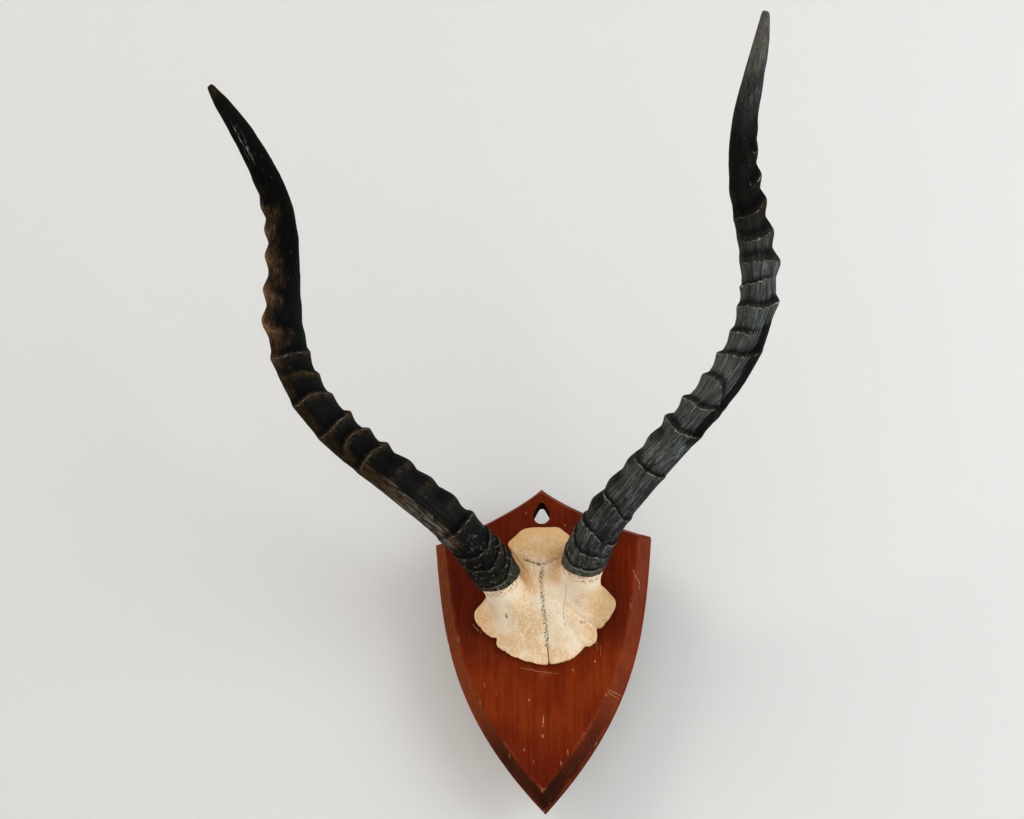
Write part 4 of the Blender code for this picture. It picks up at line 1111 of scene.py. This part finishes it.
def shield_surface(thickness):
    """The shield as a grid that goes round: hole wall, face, bevel, edge, back and hole again.

    Each row is a mix of two of the three outlines at some depth. The two arrises are rounded and
    lose small nicks, and nothing stands out past the plain solid.
    """
    outline, face, hole = shield_rings()
    inward = -unit(outline - outline.mean(0))
    still = np.zeros(len(outline))
    nick = noise(np.column_stack([outline, still]), 3.0, 61)
    nick += noise(np.column_stack([outline, still]), 9.0, 62)
    chip = 0.7 * np.clip(nick - 0.75, 0.0, 0.6)
    rows, marks = [], {"bevel": [], "arris": [], "worn": [], "inside": []}

    def add(ring, depth, bevel=0.0, arris=0.0, inside=0.0):
        rows.append(np.column_stack([ring[:, 0], -depth - still, ring[:, 1]]))
        spots = sum(bump(np.hypot(*(ring - (x, z)).T), size) for x, z, size in WORN_SPOTS)
        for key, value in zip(marks, (bevel, arris, arris * np.clip(spots, 0.0, 1.0), inside)):
            marks[key].append(value + still)

    hole_out = unit(hole - (HOLE_X, HOLE_LOW_Z))
    # The rows of the hole's wall carry the inside mark, which paints shade in the hole.
    for share, flare in ((0.0, 0.45), (0.0075, 0.15), (0.025, 0.0), (0.25, 0.0), (0.5, 0.0),
                         (0.75, 0.0), (0.95, 0.0), (0.98, 0.12), (0.995, 0.35)):
        bore = hole + flare * hole_out + np.array([HOLE_ASKEW, 0.0]) * (1.0 - share)
        add(bore, share * thickness, inside=1.0 if share < 0.975 else 0.5)
    rounded = hole + 0.6 * hole_out
    for share in np.linspace(0.0, 1.0, 96) ** 1.15:
        ring = rounded + share * (face - rounded)
        wave = 0.08 * (1 + noise(np.column_stack([ring * (1, 0.35), still]), 14.0, 63))
        corner = 0.25 if share > 0.995 else 0.0
        to_arris = (1 - share) * np.linalg.norm(face - hole, axis=1)
        add(ring, thickness - wave * min(1.0, 8 * (1 - share)) - corner, 0.0,
            bump(to_arris, 1.6) + bump(share, 0.012))
    for share in (0.03, 0.08, 0.2, 0.35, 0.5, 0.65, 0.8, 0.92):
        ring = face + share * (outline - face)
        drop = thickness + share * (SHIELD_EDGE - thickness)
        cut = 0.16 * (1 + noise(np.column_stack([ring, still]), 16.0, 64))
        add(ring, drop - cut * math.sin(math.pi * share) - 0.15, ease(share / 0.1),
            bump(share, 0.1) + bump(1 - share, 0.1))
    for below, tuck in ((0.0, 0.75), (0.2, 0.3), (0.7, 0.05), (3.0, 0.0), (6.0, 0.0),
                        (9.0, 0.0), (11.8, 0.05), (12.5, 0.25), (12.9, 0.6)):
        dent = chip * bump(below - 0.4, 1.2)
        sunk = 0.4 * dent * (below < 2.0)
        add(outline + inward * (tuck + dent)[:, None], SHIELD_EDGE - below - sunk, 0.4,
            bump(below - 0.2, 0.5))
    back_hole = hole + 0.8 * hole_out + np.array([HOLE_ASKEW, 0.0])
    for share in np.linspace(0.015, 1.0, 40):
        add(outline + share * (back_hole - outline), 0.0)
    return np.array(rows), {key: np.array(value) for key, value in marks.items()}


def cut_screw_holes(shield):
    """Cuts the two countersunk holes through the shield and keeps the result as its mesh."""
    profile = np.array(SCREW_HOLE)
    turn = np.linspace(0.0, 2 * math.pi, 48, endpoint=False)
    cutters = []
    for x in SCREW_PLACES:
        ring = np.stack([np.cos(turn), 0 * turn, np.sin(turn)], axis=-1)
        points = (np.array([x, 0.0, SCREW_Z]) + profile[:, None, :1] * ring
                  + profile[:, None, 1:] * np.array([0.0, 1.0, 0.0]))
        start, end = (np.array([x, depth, SCREW_Z]) for depth in (profile[0, 1], profile[-1, 1]))
        cutter = make_piece("screw hole", points, shield.data.materials[0], start, end)
        cut = shield.modifiers.new("screw hole", "BOOLEAN")
        cut.operation, cut.solver, cut.object = "DIFFERENCE", "EXACT", cutter
        cutters.append(cutter)
    shown = shield.evaluated_get(bpy.context.evaluated_depsgraph_get())
    mesh = bpy.data.meshes.new_from_object(shown)
    shield.modifiers.clear()
    shield.data = mesh
    for cutter in cutters:
        bpy.data.objects.remove(cutter, do_unlink=True)


# ---------------------------------------------------------------- settings

def color_property(name, description, default):
    """A colour among the settings, in linear light."""
    return FloatVectorProperty(name=name, description=description, subtype="COLOR", size=3,
                               min=0.0, max=1.0, default=default)


class HornSettings(bpy.types.PropertyGroup):
    fibre_depth: FloatProperty(name="Fibre depth", default=0.13, min=0.0, max=0.5,
                               description="Depth of the lengthwise fibres, in mm")
    dark: color_property("Horn", "The horn's own near-black", (0.002, 0.0023, 0.0021))
    dry: color_property("Dry horn", "The horn where its surface is dry", (0.088, 0.094, 0.09))
    fibre: color_property("Fibres", "Dry pale fibres", (0.34, 0.36, 0.355))
    # crest: worn crests with painted highlight, also used for scratches and chips.
    crest: color_property("Crests", "Rubbed crests of the rings", (0.30, 0.29, 0.25))
    olive: color_property("Base", "Scurf of the base and the inner side", (0.09, 0.083, 0.05))
    frayed: color_property("Frayed tip", "Dry fibres at the tip", (0.17, 0.145, 0.11))
    dirt: color_property("Dirt", "Brown dirt between the rings", (0.07, 0.039, 0.0155))
    # knob: tan knob colour with a painted highlight on the tops of the knobs.
    knob: color_property("Knobs", "Rubbed knobs of the soiled side", (0.27, 0.14, 0.058))


class BoneSettings(bpy.types.PropertyGroup):
    ivory: color_property("Ivory", "Clean bone", (0.86, 0.615, 0.375))
    tan: color_property("Tan", "Darker streaks of bone", (0.75, 0.49, 0.265))
    ochre: color_property("Ochre", "Bone at the back and along the saw cut", (0.80, 0.465, 0.18))
    chalk: color_property("Chalk", "Whitish, weathered bone", (0.93, 0.81, 0.64))
    blush: color_property("Blush", "Orange stain beside the horns", (0.80, 0.40, 0.15))
    # scurf is also the colour of the painted shade on the right wing and in the hollows beside the
    # horns.
    scurf: color_property("Scurf", "Brown scurf in the rough bone", (0.33, 0.20, 0.10))
    pore: color_property("Sutures", "Dirt in the sutures", (0.135, 0.078, 0.042))
    # crack is painted shade: the near-black inside the open crack and the small holes.
    crack: color_property("Crack", "Open crack and holes", (0.012, 0.009, 0.007))


class WoodSettings(bpy.types.PropertyGroup):
    # dark is also the colour of the painted shade on the face.
    dark: color_property("Dark grain", "Darkest streaks of the wood", (0.042, 0.005, 0.0012))
    middle: color_property("Wood", "The stained wood's main colour", (0.168, 0.0135, 0.0012))
    # orange also serves for the painted sheen on the right side, at the top and along the arrises.
    orange: color_property("Warm wood", "Worn, warmer areas", (0.25, 0.036, 0.003))
    pore: color_property("Pores", "Pores and dust in the varnish", (0.24, 0.07, 0.02))
    # The bevel colour is painted light on the left bevel.
    rub_and_painted_light: color_property("Bevel", "Rubbed wood of the bevel", (0.21, 0.049, 0.015))
    # bare is painted shade: the near-black of the hanging hole's wall and of the lower bevels.
    painted_shade_wood: color_property("Inside", "Old, blackened wood", (0.006, 0.0022, 0.001))
    chip: color_property("Chips", "Bare wood in nicks and scratches", (0.60, 0.33, 0.17))


class StageSettings(bpy.types.PropertyGroup):
    wall_gap: FloatProperty(name="Wall gap", default=0.045, unit="LENGTH",
                            description="Distance of the backdrop behind the shield")
    floor_drop: FloatProperty(name="Floor drop", default=0.62, unit="LENGTH",
                              description="Depth of the floor below the shield's middle")
    distance: FloatProperty(name="Distance", default=1.3167, unit="LENGTH",
                            description="From the camera to the middle of the shield")
    azimuth: FloatProperty(name="Azimuth", default=math.radians(7.5), subtype="ANGLE",
                           description="How far to the right of the front the camera stands")
    elevation: FloatProperty(name="Elevation", default=math.radians(-11.5), subtype="ANGLE",
                             description="How far above the shield's middle the camera stands")
    pan: FloatProperty(name="Pan", default=math.radians(8.689), subtype="ANGLE",
                       description="The camera's turn to the left")
    tilt: FloatProperty(name="Tilt", default=math.radians(20.718), subtype="ANGLE",
                        description="The camera's tilt above level")
    lens: FloatProperty(name="Lens", default=52.38, description="Focal length, in mm")
    wall: color_property("Backdrop", "The pale backdrop and floor", (0.76, 0.745, 0.725))


SCREW_COLOR = (0.60, 0.60, 0.57)


# ---------------------------------------------------------------- operators

class TROPHY_OT_horns(bpy.types.Operator):
    """Build both ringed horns"""
    bl_idname = "trophy.horns"
    bl_label = "Horns"

    def execute(self, context):
        look = context.scene.trophy_horns
        for name, horn in HORNS.items():
            grid, base, tip, marks = horn_surface(horn, look.fibre_depth)
            finish = horn_finish("horn " + name, look, horn.dirt, horn.crests)
            piece = make_piece("ringed_horn_" + name, grid, finish, base, tip, marks)
            take_place(piece, "horn_" + name)
        return {"FINISHED"}


class TROPHY_OT_skull_plate(bpy.types.Operator):
    """Build the sawn skull plate with its two pedicles"""
    bl_idname = "trophy.skull_plate"
    bl_label = "Skull plate"

    def execute(self, context):
        grid, crest, below, marks = skull_surface()
        finish = bone_finish(context.scene.trophy_bone)
        plate = make_piece("sawn_skull_plate", grid, finish, crest, below, marks)
        take_place(plate, "skull_plate")
        return {"FINISHED"}


class TROPHY_OT_shield(bpy.types.Operator):
    """Build the bevelled shield with its hanging hole"""
    bl_idname = "trophy.shield"
    bl_label = "Shield"

    def execute(self, context):
        low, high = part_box("shield")
        grid, marks = shield_surface((high.y - low.y) / MM)
        finish = wood_finish(context.scene.trophy_wood)
        shield = make_piece("bevelled_shield", grid, finish, marks=marks)
        cut_screw_holes(shield)
        take_place(shield, "shield")
        return {"FINISHED"}


class TROPHY_OT_screws(bpy.types.Operator):
    """Finish the two screws that hold the bone from behind"""
    bl_idname = "trophy.screws"
    bl_label = "Screws"

    def execute(self, context):
        finish = screw_finish(SCREW_COLOR)
        for name in ("screw_left", "screw_right"):
            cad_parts[name].material_slots[0].material = finish
        return {"FINISHED"}


class TROPHY_OT_stage(bpy.types.Operator):
    """Set up the backdrop, the lights and the camera"""
    bl_idname = "trophy.stage"
    bl_label = "Stage"

    def execute(self, context):
        stage = context.scene.trophy_stage
        add_backdrop(stage)
        add_lights(context.scene)
        add_camera(context.scene, stage)
        return {"FINISHED"}


def add_backdrop(stage):
    """A pale floor that sweeps up into a pale wall: a straight, a quarter circle, a straight."""
    reach, height, half_width, bend, columns = 4.0, 3.0, 3.5, 0.3, 8
    turn = np.linspace(0.0, math.pi / 2, 24)
    wall, floor = stage.wall_gap, -stage.floor_drop
    y = np.concatenate([[-reach], wall - bend + bend * np.sin(turn), [wall]])
    z = np.concatenate([[floor], floor + bend - bend * np.cos(turn), [height]])
    x = np.linspace(-half_width, half_width, columns)
    grid = np.stack(np.broadcast_arrays(x, y[:, None], z[:, None]), axis=-1)
    index = np.arange(grid.size // 3).reshape(-1, columns)
    faces = np.stack([index[:-1, :-1], index[:-1, 1:], index[1:, 1:], index[1:, :-1]], -1)
    mesh = bpy.data.meshes.new("backdrop")
    mesh.from_pydata(grid.reshape(-1, 3).tolist(), [], faces.reshape(-1, 4).tolist())
    mesh.shade_smooth()
    mesh.materials.append(stage_finish("backdrop", tuple(stage.wall)))
    backdrop = bpy.data.objects.new("backdrop", mesh)
    bpy.context.scene.collection.objects.link(backdrop)


def add_lights(scene):
    """Soft pale surroundings, a large key light from the upper left and a weak fill."""
    world = bpy.data.worlds.new("soft studio")
    world.use_nodes = True
    background = world.node_tree.nodes["Background"]
    background.inputs["Color"].default_value = (1.0, 1.0, 1.0, 1.0)
    background.inputs["Strength"].default_value = 0.53
    scene.world = world
    for name, place, aim, size, power, color in (
            ("key light", (-2.6, -2.5, 2.7), (-0.05, 0.0, -0.05), 2.8, 64.0, (1.0, 0.93, 0.87)),
            ("fill light", (2.3, -1.7, 0.2), (0.2, 0.0, 0.0), 2.0, 43.0, (0.84, 0.965, 1.0))):
        data = bpy.data.lights.new(name, "AREA")
        data.shape, data.size, data.energy, data.color = "DISK", size, power, color
        light = bpy.data.objects.new(name, data)
        scene.collection.objects.link(light)
        light.location = place
        toward = np.array(aim) - np.array(place)
        flat = math.hypot(toward[0], toward[1])
        light.rotation_euler = (math.atan2(flat, -toward[2]), 0.0,
                                math.atan2(-toward[0], toward[1]))


def add_camera(scene, stage):
    """The camera at the viewing angle of the picture, looking up from below the shield."""
    data = bpy.data.cameras.new("camera")
    data.sensor_width, data.lens = 36.0, stage.lens
    camera = bpy.data.objects.new("camera", data)
    scene.collection.objects.link(camera)
    flat = stage.distance * math.cos(stage.elevation)
    camera.location = (flat * math.sin(stage.azimuth),
                       -SHIELD_EDGE * MM - flat * math.cos(stage.azimuth),
                       stage.distance * math.sin(stage.elevation))
    camera.rotation_euler = (math.pi / 2 + stage.tilt, 0.0, stage.pan)
    scene.camera = camera
    scene.view_settings.view_transform = "Standard"


class TROPHY_PT_panel(bpy.types.Panel):
    """Buttons that build the trophy"""
    bl_idname = "TROPHY_PT_panel"
    bl_label = "Impala Trophy"
    bl_space_type = "VIEW_3D"
    bl_region_type = "UI"
    bl_category = "Trophy"

    def draw(self, context):
        for operator in OPERATORS:
            self.layout.operator(operator.bl_idname)
        for group in SETTINGS:
            settings = getattr(context.scene, group)
            for key in settings.__annotations__:
                self.layout.prop(settings, key)


OPERATORS = (TROPHY_OT_horns, TROPHY_OT_skull_plate, TROPHY_OT_shield, TROPHY_OT_screws,
             TROPHY_OT_stage)
SETTINGS = {"trophy_horns": HornSettings, "trophy_bone": BoneSettings, "trophy_wood": WoodSettings,
            "trophy_stage": StageSettings}


def register():
    for cls in (*SETTINGS.values(), *OPERATORS, TROPHY_PT_panel):
        bpy.utils.register_class(cls)
    for name, cls in SETTINGS.items():
        setattr(bpy.types.Scene, name, PointerProperty(type=cls))


def unregister():
    for name in SETTINGS:
        delattr(bpy.types.Scene, name)
    for cls in reversed((*SETTINGS.values(), *OPERATORS, TROPHY_PT_panel)):
        bpy.utils.unregister_class(cls)


def main():
    register()
    for name in ("horns", "skull_plate", "shield", "screws", "stage"):
        getattr(bpy.ops.trophy, name)()


if __name__ == "__main__":
    main()
